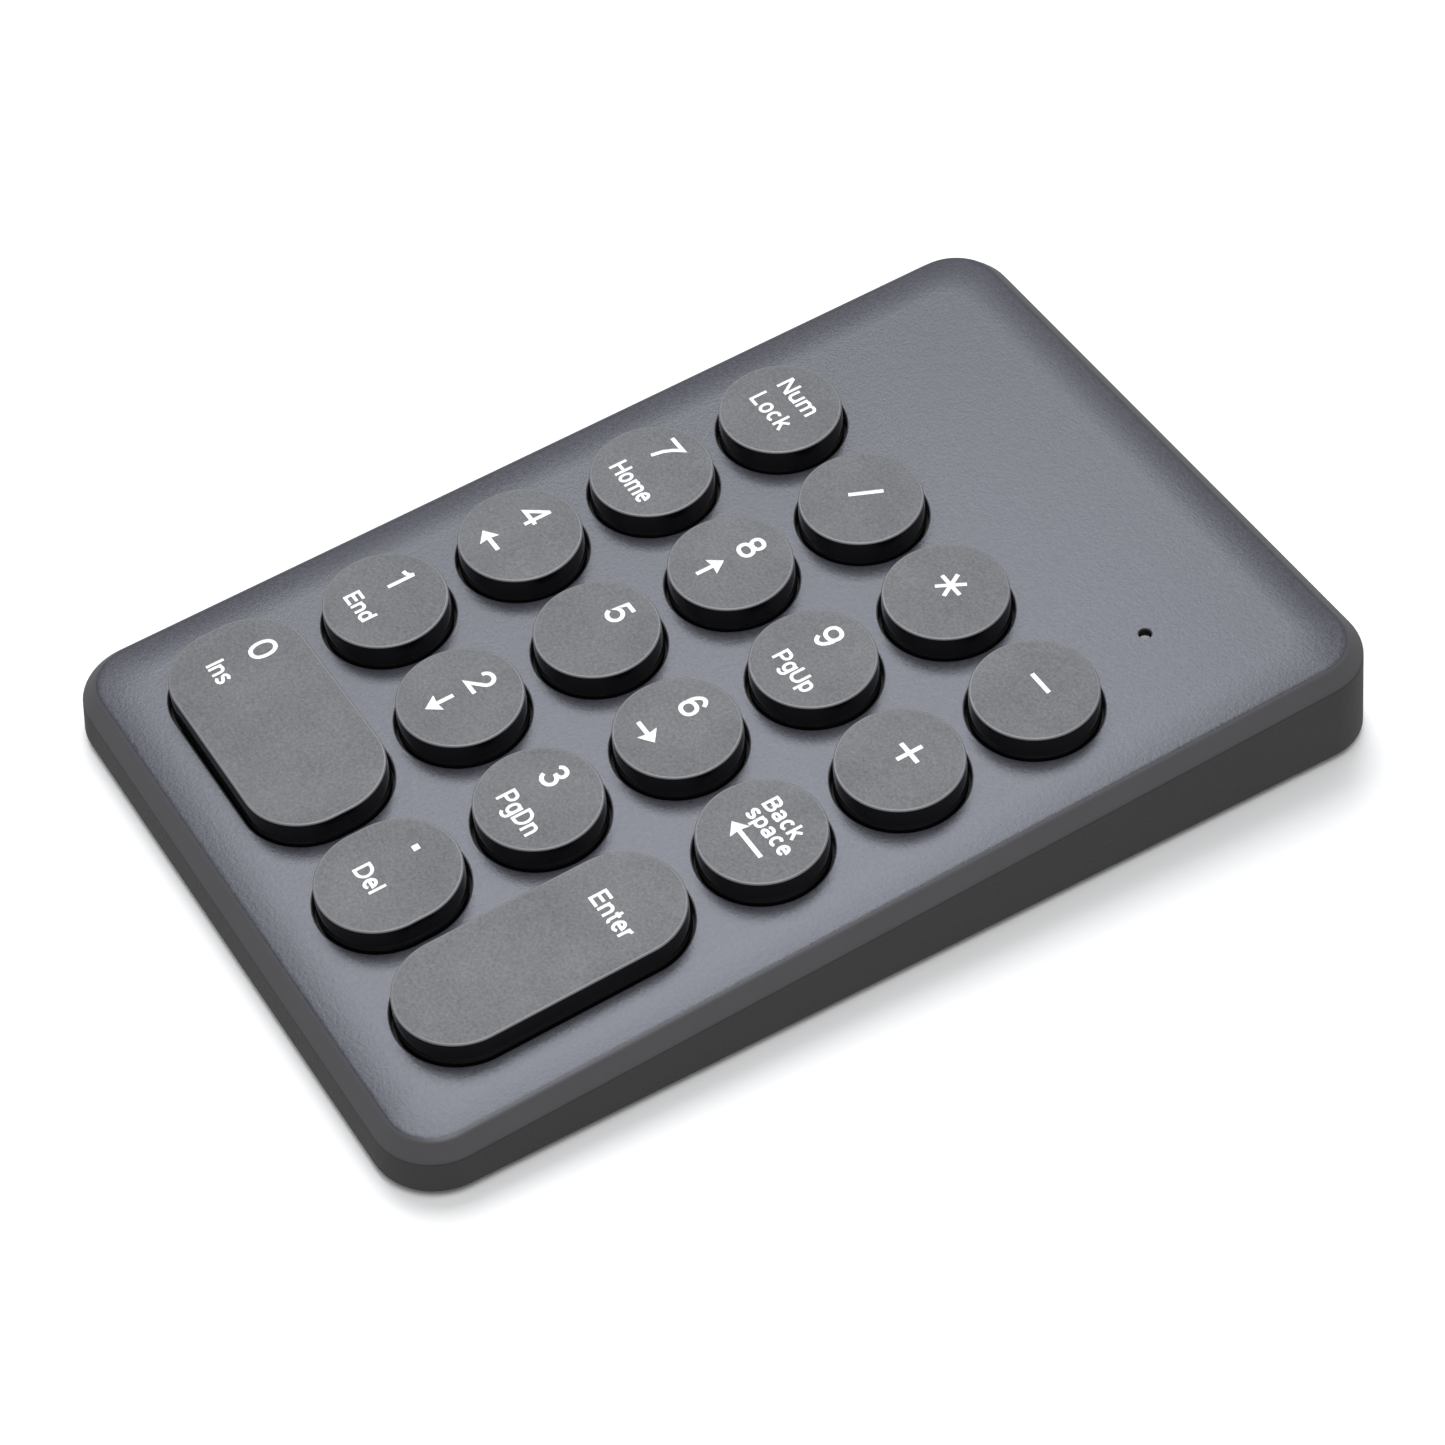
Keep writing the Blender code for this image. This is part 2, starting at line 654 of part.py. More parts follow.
def make_key_guide_frame():
    """The plate under the deck with a square chimney for each key's slider."""
    outline = rounded_outline(-LAYER_X, LAYER_X, LAYER_FRONT, LAYER_REAR, 3.0, 3)
    plate = slab("key_guide_frame", outline, FRAME_BOTTOM, FRAME_TOP)
    frame = add_part("key_guide_frame", plate, "black_plastic", DECK)
    half = GUIDE_BORE / 2
    outer = half + GUIDE_WALL
    chimneys = boxes("chimneys", key_boxes(outer, outer, FRAME_BOTTOM + 0.4, GUIDE_TOP))
    join(frame, add_helper("chimneys", chimneys, DECK))
    for name, x, y, _, _ in KEYS:
        if name not in STABILISERS:
            continue
        hooks, bores = [], []
        for u in (-HOOK_AT, HOOK_AT):
            hooks.append((u - 0.7, u + 0.7, WIRE_PIVOT_AT - 1, WIRE_PIVOT_AT + 1, FRAME_TOP - 0.4, -1.7))
            bore = 0.48
            z0, z1 = WIRE_PIVOT_Z - bore, WIRE_PIVOT_Z + bore
            bores.append((u - 2, u + 2, WIRE_PIVOT_AT - bore, WIRE_PIVOT_AT + bore, z0, z1))
        turn = STABILISERS[name]
        join(frame, add_helper("hooks", boxes("hooks", hooks), DECK, (x, y, 0), turn))
        cut(frame, add_helper("hook_bores", boxes("hook_bores", bores), DECK, (x, y, 0), turn))
    bores = boxes("guide_bores", key_boxes(half, half, FRAME_BOTTOM - 1, GUIDE_TOP + 1))
    cut(frame, add_helper("guide_bores", bores, DECK))
    notches = boxes("notches", key_boxes(outer + 0.6, 1.2, FRAME_BOTTOM - 1, NOTCH_TOP))
    cut(frame, add_helper("notches", notches, DECK))


def make_dome_sheet():
    """One silicone sheet with a hollow dome under each key."""
    inset = 0.4
    outline = rounded_outline(
        -LAYER_X + inset, LAYER_X - inset, LAYER_FRONT + inset, LAYER_REAR - inset, 3.0, 3
    )
    sheet = add_part("dome_sheet", slab("sheet", outline, RUBBER_BOTTOM, RUBBER_TOP), "silicone", DECK)
    crown = RUBBER_TOP + DOME_HEIGHT
    places = [(x, y, 0, 0) for _, x, y, _, _ in KEYS]
    outside = turned(
        "dome",
        [(0, crown), (DOME_CROWN_RADIUS, crown), (DOME_BASE_RADIUS, RUBBER_TOP - 0.2), (0, RUBBER_TOP - 0.2)],
        SMALL_STEPS,
    )
    join(sheet, add_helper("domes", repeated("domes", outside, places), DECK))
    inside = turned(
        "hollow",
        [
            (0, crown - DOME_WALL),
            (DOME_CROWN_RADIUS - DOME_WALL, crown - DOME_WALL),
            (DOME_BASE_RADIUS - DOME_WALL, RUBBER_TOP),
            (DOME_BASE_RADIUS - DOME_WALL, RUBBER_BOTTOM - 1),
            (0, RUBBER_BOTTOM - 1),
        ],
        SMALL_STEPS,
    )
    cut(sheet, add_helper("hollows", repeated("hollows", inside, places), DECK))


def make_membrane():
    """Two printed films with a spacer between them. The lower one has the tail that goes to the board."""
    corner = 3.0
    outline = rounded_outline(-LAYER_X, LAYER_X, LAYER_FRONT, LAYER_REAR, corner, 3)
    rear_corner = len(outline) // 4
    tail = [(TAIL_X1, LAYER_REAR), (TAIL_X1, TAIL_END), (TAIL_X0, TAIL_END), (TAIL_X0, LAYER_REAR)]
    with_tail = outline[:rear_corner] + tail + outline[rear_corner:]
    names = ["membrane_top_film", "membrane_spacer_film", "membrane_bottom_film"]
    for index, name in enumerate(names):
        top = FILM_TOP - index * FILM_STEP
        shape = with_tail if name == "membrane_bottom_film" else outline
        film = add_part(name, slab(name, shape, top - FILM_THICKNESS, top), "clear_film", DECK)
        if name == "membrane_spacer_film":
            places = [(x, y) for _, x, y, _, _ in KEYS]
            contact_holes = cylinders("contact_holes", 2.5, places, top - 1, top + 1, 8)
            cut(film, add_helper("contact_holes", contact_holes, DECK))


def make_support_plate():
    outline = rounded_outline(-LAYER_X, LAYER_X, LAYER_FRONT, LAYER_REAR, 3.0, 3)
    plate = slab("support_plate", outline, PLATE_BOTTOM, PLATE_TOP)
    add_part("support_plate", plate, "steel", DECK)


# ---- electronics ----
def make_circuit_board():
    outline = rounded_outline(BOARD_X0, BOARD_X1, BOARD_Y0, BOARD_Y1, 1.0, 2)
    mesh = slab("circuit_board", outline, BOARD_BOTTOM, BOARD_TOP)
    board = add_part("circuit_board", mesh, "board_green", DECK)
    places = [(x, BAR_Y) for x in BAR_SCREW_X]
    holes = cylinders("board_holes", SHANK_RADIUS + 0.2, places, BOARD_BOTTOM - 1, BOARD_TOP + 1)
    cut(board, add_helper("board_holes", holes, DECK))

    chip = box("controller_chip", 17.6, 22.6, 41.0, 45.4, BOARD_TOP + 0.1, BOARD_TOP + 1.1)
    add_part("controller_chip", chip, "black_plastic", DECK)
    can = rounded_outline(30.0, 33.2, 41.6, 44.1, 1.0, 2)
    add_part("crystal_can", slab("crystal_can", can, BOARD_TOP + 0.1, BOARD_TOP + 0.9), "steel", DECK)
    led = box("status_led", LED_X - 0.8, LED_X + 0.8, LED_Y - 0.5, LED_Y + 0.5, BOARD_TOP + 0.1, -4.75)
    add_part("status_led", led, "clear_film", DECK)

    bar = box("tail_clamp_bar", -5.2, 15.2, BAR_Y - 1.9, BAR_Y + 1.9, -5.1, -3.9)
    clamp = add_part("tail_clamp_bar", bar, "black_plastic", DECK)
    bar_holes = cylinders("bar_holes", SHANK_RADIUS + 0.2, places, -6, -3)
    cut(clamp, add_helper("bar_holes", bar_holes, DECK))


def make_light_pipe():
    """Carries the lamp's light up to the hole in the deck. It ends below the surface."""
    shoulder = -DECK_THICKNESS - 0.2
    tip = LED_HOLE_RADIUS - 0.12
    pipe = turned(
        "light_pipe",
        [
            (0, -0.7),
            (tip, -0.7),
            (tip, shoulder),
            (1.5, shoulder),
            (1.5, shoulder - 0.6),
            (0.9, -4.6),
            (0, -4.6),
        ],
        SMALL_STEPS,
    )
    add_part("light_pipe", pipe, "smoke", DECK, (LED_X, LED_Y, 0))


def make_power_switch():
    body = box("power_switch_body", -4.3, 4.3, -1.8, 1.8, -9.9, BOARD_BOTTOM - 0.1)
    switch = add_part("power_switch_body", body, "steel", DECK, (SWITCH_X, SWITCH_Y, 0))
    slot = box("lever_slot", -2.5, 2.5, -1.15, 1.15, -11, -8.4)
    cut(switch, add_helper("lever_slot", slot, DECK, (SWITCH_X, SWITCH_Y, 0)))

    ribs = [(-1.28 + 0.75 * i, -0.98 + 0.75 * i, -1.25, 1.25, 1.15, 1.8) for i in range(4)]
    block = box("power_switch_knob", -1.5, 1.5, -1.25, 1.25, 1.45, 3.2)
    knob = add_part("power_switch_knob", block, "rubber", None, KNOB_AT)
    join(knob, add_helper("knob_ribs", boxes("knob_ribs", ribs), None, KNOB_AT))
    flange = box("knob_flange", -3.6, 3.6, -2.3, 2.3, COVER_TOP + 0.3, 3.5)
    join(knob, add_helper("knob_flange", flange, None, KNOB_AT))
    lever = box("knob_lever", -0.7, 0.7, -0.6, 0.6, 3.3, 5.8)
    join(knob, add_helper("knob_lever", lever, None, KNOB_AT))


# ---- battery ----
def make_battery():
    length = BATTERY_X1 - BATTERY_X0
    profile = [
        (0, length + 1.0),
        (1.9, length + 1.0),
        (1.9, length),
        (BATTERY_RADIUS - 0.4, length),
        (BATTERY_RADIUS, length - 0.4),
        (BATTERY_RADIUS, 0),
        (0, 0),
    ]
    cell = turned("battery", profile)
    cell.transform(Matrix.Rotation(math.pi / 2, 4, "Y"))
    cell.transform(Matrix.Translation(mm(BATTERY_X0, BATTERY_Y, BATTERY_Z)))
    add_part("battery", cell, "cell_jacket")

    turns, per_turn = 3.5, 8
    count = int(turns * per_turn)
    coil = []
    for i in range(count + 1):
        share = i / count
        angle = 2 * math.pi * turns * share
        radius = 3.8 - 1.5 * share
        along = -40.1 + 3.0 * share
        coil.append((along, BATTERY_Y + radius * math.cos(angle), BATTERY_Z + radius * math.sin(angle)))
    add_part("battery_spring", bent_wire("battery_spring", coil, 0.35), "steel")
    contact = box("battery_contact", 8.15, 8.6, BATTERY_Y - 3.5, BATTERY_Y + 3.5, 3.6, 11.2)
    add_part("battery_contact", contact, "steel")


def make_battery_door():
    """A snap-in door: two tabs hold its front edge, and a springy latch holds the rear one."""
    top = UNDERSIDE + DOOR_THICKNESS
    outline = rounded_outline(DOOR_X0, DOOR_X1, DOOR_Y0, DOOR_Y1, 1.0, 2)
    door = add_part("battery_door", slab("battery_door", outline, UNDERSIDE, top), "black_plastic")
    risers = [(x - 2, x + 2, DOOR_Y0 + 0.2, DOOR_Y0 + 1.4, top - 0.3, 3.0) for x in TAB_X]
    tabs = [(x - 2, x + 2, DOOR_Y0 - 2.1, DOOR_Y0 + 1.4, COVER_TOP + 0.3, 3.3) for x in TAB_X]
    join(door, add_helper("door_risers", boxes("door_risers", risers)))
    join(door, add_helper("door_tabs", boxes("door_tabs", tabs)))
    leg = box("latch_leg", LATCH_X - 3, LATCH_X + 3, DOOR_Y1 - 1.3, DOOR_Y1 - 0.4, top - 0.3, 4.1)
    join(door, add_helper("latch_leg", leg))
    bump = box("latch_bump", LATCH_X - 3, LATCH_X + 3, DOOR_Y1 - 0.8, DOOR_Y1 + LATCH_REACH, COVER_TOP, 3.3)
    join(door, add_helper("latch_bump", bump))
    grips = [(LATCH_X - 4, LATCH_X + 4, 54.2 + 1.1 * i, 54.8 + 1.1 * i, 0, UNDERSIDE + 0.4) for i in range(3)]
    cut(door, add_helper("door_grips", boxes("door_grips", grips)))


# ---- the radio receiver in its slot ----
def make_receiver():
    x, z = RECEIVER_X, RECEIVER_Z
    head_front = RECEIVER_REAR - HEAD_LENGTH
    span_x = (x - HEAD_WIDTH / 2, x + HEAD_WIDTH / 2)
    span_z = (z - HEAD_HEIGHT / 2, z + HEAD_HEIGHT / 2)
    block = box("receiver_head", *span_x, head_front, RECEIVER_REAR, *span_z)
    head = add_part("receiver_head", block, "black_plastic")
    tongue_front = head_front - PLUG_LENGTH + 0.8
    tongue = box("tongue", x - 5.4, x + 5.4, tongue_front, head_front + 0.5, z - 1.7, z - 0.1)
    join(head, add_helper("tongue", tongue))

    half_width, half_height = PLUG_WIDTH / 2, PLUG_HEIGHT / 2
    rear = head_front - 0.15
    front = rear - PLUG_LENGTH
    tube = box(
        "receiver_plug", x - half_width, x + half_width, front, rear, z - half_height, z + half_height
    )
    plug = add_part("receiver_plug", tube, "steel")
    half_width -= PLUG_WALL
    half_height -= PLUG_WALL
    inside = box(
        "plug_inside", x - half_width, x + half_width, front - 1, rear + 1, z - half_height, z + half_height
    )
    cut(plug, add_helper("plug_inside", inside))


# ---- feet and screws ----
def foot_mesh(name, grow, bottom, top):
    profile = [(0, top), (1.8 + grow, top), (1.8 + grow, bottom), (0, bottom)]
    return turned(name, profile, SMALL_STEPS)


def foot_places():
    return [(x, y, 6.0, 0) for x, y in mirrored(FOOT_PLACES)]


def make_feet():
    names = ["foot_front_left", "foot_front_right", "foot_rear_left", "foot_rear_right"]
    pad = pull_apart(foot_mesh("foot", 0, 0, UNDERSIDE + 0.35), 6.0, 0)
    for name, (x, y) in zip(names, mirrored(FOOT_PLACES)):
        add_part(name, pad, "rubber", None, (x, y, 0))


def screw_mesh(shank_end):
    """A pan-head screw with its head's face at Z = 0, pointing up, with a cross recess in the head."""
    profile = [
        (0, shank_end),
        (SHANK_RADIUS * 0.6, shank_end),
        (SHANK_RADIUS, shank_end - 0.6),
        (SHANK_RADIUS, 0.7),
        (HEAD_RADIUS, 0.7),
        (HEAD_RADIUS, 0),
        (0, 0),
    ]
    blank = add_helper("screw_blank", turned("screw", profile, SMALL_STEPS))
    for name, half_x, half_y in (("slot_x", 1.0, 0.2), ("slot_y", 0.2, 1.0)):
        cut(blank, add_helper(name, box(name, -half_x, half_x, -half_y, half_y, -0.5, 0.4)))
    mesh = evaluated_mesh(blank)
    bpy.data.objects.remove(blank)
    return mesh


def make_screws():
    mesh = screw_mesh(5.0)
    names = ["front", "middle", "rear"]
    sides = ["left", "right"]
    for index, (x, y) in enumerate(mirrored(SCREW_PLACES)):
        name = f"case_screw_{names[index // 2]}_{sides[index % 2]}"
        add_part(name, mesh, "steel", None, (x, y, UNDERSIDE + 0.05))
    short = screw_mesh(4.8)
    for side, x in zip(sides, BAR_SCREW_X):
        add_part(f"board_screw_{side}", short, "steel", DECK, (x, BAR_Y, BOARD_BOTTOM - 0.8))


clear_scene()
PARTS = new_collection("numeric_keypad")
HELPERS = new_collection("helpers")
DECK = bpy.data.objects.new("deck_frame", None)
PARTS.objects.link(DECK)
DECK.location = mm(0, DECK_Y, DECK_Z)
DECK.rotation_euler = (TILT, 0, 0)

make_top_cover()
make_keys()
make_stabilisers()
make_key_guide_frame()
make_dome_sheet()
make_membrane()
make_support_plate()
make_circuit_board()
make_light_pipe()
make_power_switch()
make_battery()
make_battery_door()
make_receiver()
make_bottom_cover()
make_feet()
make_screws()
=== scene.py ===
"""The looks of a wireless numeric keypad: a wedge-shaped case with round keys, on a pale floor.

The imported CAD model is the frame. What shows is built again here at the same size, with finer curves,
rounded edges, engraved legends and moulded surfaces. Lengths below are millimetres in the deck frame,
unless a name says otherwise: its origin is the middle of the four by four key grid on the deck's surface,
+X is to the user's right, +Y up the slope and +Z out of the deck.
"""

import math

import bmesh
import bpy
from mathutils import Matrix, Vector


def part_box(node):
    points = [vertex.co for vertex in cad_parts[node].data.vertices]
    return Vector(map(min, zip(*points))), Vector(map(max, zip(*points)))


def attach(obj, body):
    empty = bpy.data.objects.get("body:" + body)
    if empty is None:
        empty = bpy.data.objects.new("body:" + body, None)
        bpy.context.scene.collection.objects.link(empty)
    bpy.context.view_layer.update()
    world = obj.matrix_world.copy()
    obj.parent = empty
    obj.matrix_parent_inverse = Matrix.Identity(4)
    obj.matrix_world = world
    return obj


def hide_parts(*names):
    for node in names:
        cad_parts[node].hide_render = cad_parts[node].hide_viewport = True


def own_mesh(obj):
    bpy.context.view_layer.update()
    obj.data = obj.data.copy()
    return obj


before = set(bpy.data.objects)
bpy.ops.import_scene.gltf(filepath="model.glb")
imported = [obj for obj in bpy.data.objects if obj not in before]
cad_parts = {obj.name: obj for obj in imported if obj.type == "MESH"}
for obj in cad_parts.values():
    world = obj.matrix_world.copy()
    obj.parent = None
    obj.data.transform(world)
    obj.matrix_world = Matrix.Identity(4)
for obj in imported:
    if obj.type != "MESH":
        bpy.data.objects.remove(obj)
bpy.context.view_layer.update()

# ---- the case's and the keys' sizes, in millimetres ----
TILT = math.radians(3.5)
DECK_DEPTH = 11.23
FOOT_HEIGHT = 1.0
PITCH = 19.05

CREST_X = 43.4
CREST_FRONT, CREST_REAR = -64.27, 66.94
CREST_RADIUS = 6.1
ROLL_OFF, ROLL_WIDTH = 0.49, 6.0
CHAMFER_OUT, CHAMFER_DOWN = 1.9, 2.0
FLARE_FRONT, FLARE_REAR = 0.6, 0.8
EDGE_ROUND = 0.35
DECK_RINGS = 8
CORNER_STEPS = 14
# the rounding of the crest starts this far inside and above it, and ends this far outside and below it
CREST_IN, CREST_RISE = 0.45, 0.07
CREST_OUT, CREST_FALL = 0.3, 0.32
# the walls' foot: inset, share of the flare, and height above the underside
WALL_FOOT = [(0.0, 0.97, 0.3), (0.08, 1.0, 0.09), (0.28, 1.0, 0.0)]
WALL_THICKNESS, DECK_THICKNESS, CAVITY_SHOULDER = 2.0, 1.6, 3.3
# least upward lean, as a cosine, of a face that has the deck's material and of one that has the edge's; the
# chamfer's lighter colour is painted light and the steeper walls' darker colour is painted shade
DECK_LEAN, EDGE_LEAN = 0.93, 0.4
# the receiver's opening in the rear wall: its depth, and how far it reaches past the receiver's head
WINDOW_DEPTH = 8
WINDOW_GROWTH_METRES = (0.0003, 0.004, 0.0003)

KEY_RADIUS = 7.85
KEY_SKIRT_RADIUS = 8.05
KEY_RISE = 3.3
KEY_SKIRT_DEPTH = 0.9
KEY_BORE_RADIUS = 6.9
KEY_ROOF = 1.3
KEY_EDGE = 0.28
# the flare at a key's foot: how far inside the skirt's radius, and height
KEY_FLARE = [(0.12, 0.62), (0.08, 0.2), (0.0, 0.1)]
KEY_HOLE_RADIUS = 8.4
HOLE_ROUND = 0.25
CUTTER_TOP, CUTTER_BOTTOM = 1.0, -4.0
TALL_STRETCH = 1.1
BOTTOM_ROW = -48.6
ENGRAVING = 0.08

LED_X, LED_Y, LED_HOLE_RADIUS, LED_HOLE_ROUND = 26.5, 46.1, 0.8, 0.12

# ---- the picture ----
CAMERA_AT = (281.6, -141.1, 357.5)
CAMERA_FORWARD = (-0.57919, 0.29299, -0.76072)
CAMERA_ROLL = math.radians(-5.96)
CAMERA_LENS = 97.87
SENSOR = 36.0

SLOPE = math.tan(TILT)
CASE_X = CREST_X + CHAMFER_OUT
CASE_RADIUS = CREST_RADIUS + CHAMFER_OUT
CHAMFER_Z = -ROLL_OFF - CHAMFER_DOWN
COLUMNS = [PITCH * (i - 1.5) for i in range(4)]
ROWS = [PITCH * (1.5 - i) for i in range(4)]


def base_depth(y):
    """Height, in the deck frame, of the case's flat underside."""
    return -(DECK_DEPTH + SLOPE * y)


def tilted_y(y, z):
    return y * math.cos(TILT) - z * math.sin(TILT)


BASE_FRONT = CREST_FRONT - CHAMFER_OUT - FLARE_FRONT
BASE_REAR = CREST_REAR + CHAMFER_OUT + FLARE_REAR
FOOTPRINT = [tilted_y(y, base_depth(y)) for y in (BASE_FRONT, BASE_REAR)]
DECK_Y = -(FOOTPRINT[0] + FOOTPRINT[1]) / 2
DECK_Z = FOOT_HEIGHT + DECK_DEPTH * math.cos(TILT)
DECK = Matrix.Translation(Vector((0, DECK_Y, DECK_Z)) * 0.001) @ Matrix.Rotation(TILT, 4, "X")

ENTER_REAR = ROWS[3] + KEY_RADIUS
ENTER_FRONT = BOTTOM_ROW - TALL_STRETCH - KEY_RADIUS
# name: middle of the key, and how far its round ends are pulled apart along X and Y
KEYS = {
    "key_num_lock": (COLUMNS[0], ROWS[0], 0, 0),
    "key_divide": (COLUMNS[1], ROWS[0], 0, 0),
    "key_multiply": (COLUMNS[2], ROWS[0], 0, 0),
    "key_minus": (COLUMNS[3], ROWS[0], 0, 0),
    "key_7": (COLUMNS[0], ROWS[1], 0, 0),
    "key_8": (COLUMNS[1], ROWS[1], 0, 0),
    "key_9": (COLUMNS[2], ROWS[1], 0, 0),
    "key_plus": (COLUMNS[3], ROWS[1], 0, 0),
    "key_4": (COLUMNS[0], ROWS[2], 0, 0),
    "key_5": (COLUMNS[1], ROWS[2], 0, 0),
    "key_6": (COLUMNS[2], ROWS[2], 0, 0),
    "key_backspace": (COLUMNS[3], ROWS[2], 0, 0),
    "key_1": (COLUMNS[0], ROWS[3], 0, 0),
    "key_2": (COLUMNS[1], ROWS[3], 0, 0),
    "key_3": (COLUMNS[2], ROWS[3], 0, 0),
    "key_0": ((COLUMNS[0] + COLUMNS[1]) / 2, BOTTOM_ROW, PITCH / 2, TALL_STRETCH),
    "key_decimal": (COLUMNS[2], BOTTOM_ROW, 0, TALL_STRETCH),
    "key_enter": (
        COLUMNS[3],
        (ENTER_REAR + ENTER_FRONT) / 2,
        0,
        (ENTER_REAR - ENTER_FRONT) / 2 - KEY_RADIUS,
    ),
}

# Words and digits: text, left and right end, top and foot of its capitals or digits.
WORDS = {
    "key_num_lock": [("Num", -32.4, -25.4, 32.9, 30.4), ("Lock", -32.4, -25.4, 28.8, 26.3)],
    "key_7": [("7", -32.0, -29.0, 14.9, 10.9), ("Home", -32.2, -24.6, 7.9, 5.4)],
    "key_8": [("8", -11.5, -8.9, 14.9, 11.1)],
    "key_9": [("9", 6.4, 8.9, 14.9, 11.1), ("PgUp", 6.4, 13.5, 7.9, 5.6)],
    "key_4": [("4", -32.0, -29.0, -4.4, -8.2)],
    "key_5": [("5", -11.5, -9.0, -4.1, -7.7)],
    "key_6": [("6", 6.4, 8.9, -4.3, -8.0)],
    "key_backspace": [("Back", 25.1, 31.7, -5.2, -7.4), ("space", 25.1, 33.1, -7.6, -9.7)],
    "key_1": [("1", -31.6, -29.9, -23.6, -27.3), ("End", -31.9, -26.9, -30.5, -32.7)],
    "key_2": [("2", -11.4, -8.9, -23.4, -27.1)],
    "key_3": [("3", 6.4, 8.9, -23.4, -27.1), ("PgDn", 6.6, 13.7, -30.1, -32.7)],
    "key_0": [("0", -31.5, -28.6, -42.9, -46.6), ("Ins", -31.5, -27.9, -49.5, -51.9)],
    "key_decimal": [("Del", 6.6, 10.9, -49.5, -51.8)],
    "key_enter": [("Enter", 25.6, 33.0, -28.7, -31.1)],
}
# Strokes: middle, length, width, and direction in degrees anticlockwise from +X.
STROKES = {
    "key_divide": [(-9.9, 29.55, 4.4, 0.6, 64)],
    "key_multiply": [(9.05, 29.65, 3.9, 0.55, degrees) for degrees in (0, 60, 120)],
    "key_minus": [(28.2, 29.7, 3.6, 0.6, 0)],
    "key_plus": [(28.4, 11.0, 3.6, 0.6, degrees) for degrees in (0, 90)],
    "key_decimal": [(7.8, -44.0, 0.9, 0.9, 0)],
}
# Arrows: tip, length and direction.
ARROWS = {
    "key_8": (-10.3, 9.1, 4.0, 90),
    "key_4": (-31.9, -13.0, 4.0, 180),
    "key_6": (10.0, -12.9, 3.9, 0),
    "key_2": (-10.2, -33.0, 3.9, 270),
    "key_backspace": (25.3, -11.6, 6.5, 180),
}
ARROW_HEAD, ARROW_SPREAD, ARROW_SHAFT = 1.9, 1.4, 0.6
ARROW_NECK = 0.9
DIGIT_LINE, WORD_LINE = 0.56, 0.43
LETTER_GAP = 0.1
# a mitred corner reaches no farther than half its line's width divided by this
MITRE_LIMIT = 0.4
OVAL_POWER = 0.9


# ---- tools ----
def mm(*values):
    return values[0] * 0.001 if len(values) == 1 else Vector(values) * 0.001


def rounded_outline(x0, x1, y0, y1, radius, steps):
    corners = [(x1, y1, 1, 1), (x0, y1, -1, 1), (x0, y0, -1, -1), (x1, y0, 1, -1)]
    points = []
    for quarter, (x, y, side_x, side_y) in enumerate(corners):
        for step in range(steps + 1):
            angle = math.pi / 2 * (quarter + step / steps)
            points.append(
                (
                    x - side_x * radius + radius * math.cos(angle),
                    y - side_y * radius + radius * math.sin(angle),
                )
            )
    return points


def level(outline, height):
    at = height if callable(height) else lambda y: height
    return [(x, y, at(y)) for x, y in outline]


def loft(name, sections):
    """A closed solid through sections of equal point counts, from the top one to the bottom one."""
    shape = bmesh.new()
    rings = [[shape.verts.new(mm(*point)) for point in section] for section in sections]
    for upper, lower in zip(rings, rings[1:]):
        for i in range(len(upper)):
            j = (i + 1) % len(upper)
            shape.faces.new((upper[i], lower[i], lower[j], upper[j]))
    shape.faces.new(rings[0])
    shape.faces.new(reversed(rings[-1]))
    mesh = bpy.data.meshes.new(name)
    shape.to_mesh(mesh)
    shape.free()
    return mesh


def turned(name, profile, steps):
    """A solid of revolution about Z, whose profile of (radius, height) runs down its outer side."""
    shape = bmesh.new()
    rings = []
    for radius, height in profile:
        if radius < 1e-6:
            rings.append([shape.verts.new(mm(0, 0, height))])
            continue
        ring = []
        for step in range(steps):
            angle = 2 * math.pi * (step + 0.5) / steps
            ring.append(
                shape.verts.new(mm(radius * math.cos(angle), radius * math.sin(angle), height))
            )
        rings.append(ring)
    for upper, lower in zip(rings, rings[1:]):
        for i in range(steps):
            j = (i + 1) % steps
            if len(upper) == 1:
                shape.faces.new((upper[0], lower[i], lower[j]))
            elif len(lower) == 1:
                shape.faces.new((upper[i], lower[0], upper[j]))
            else:
                shape.faces.new((upper[i], lower[i], lower[j], upper[j]))
    mesh = bpy.data.meshes.new(name)
    shape.to_mesh(mesh)
    shape.free()
    return mesh


def pull_apart(mesh, stretch_x, stretch_y):
    """Turns a round shape into an oblong one, by moving its four quarters away from each other."""
    for vertex in mesh.vertices:
        for axis, stretch in ((0, stretch_x), (1, stretch_y)):
            place = vertex.co[axis]
            if abs(place) > 1e-7:
                vertex.co[axis] += math.copysign(mm(stretch), place)
    return mesh


def bend(start, corner, end, steps):
    """Points of (a, b) that round a corner off, from start to end."""
    start, corner, end = Vector(start), Vector(corner), Vector(end)
    points = []
    for step in range(steps + 1):
        share = step / steps
        points.append(tuple(start.lerp(corner, share).lerp(corner.lerp(end, share), share)))
    return points


def smooth(mesh, degrees=30):
    mesh.shade_smooth()
    mesh.set_sharp_from_angle(angle=math.radians(degrees))


def add(name, mesh, *materials):
    """A new object in world coordinates, with its materials in slots."""
    if materials:
        mesh.materials.clear()
    for material in materials:
        mesh.materials.append(material)
    obj = bpy.data.objects.new(name, mesh)
    bpy.context.scene.collection.objects.link(obj)
    return obj


def evaluated(obj):
    bpy.context.view_layer.update()
    graph = bpy.context.evaluated_depsgraph_get()
    return bpy.data.meshes.new_from_object(obj.evaluated_get(graph))


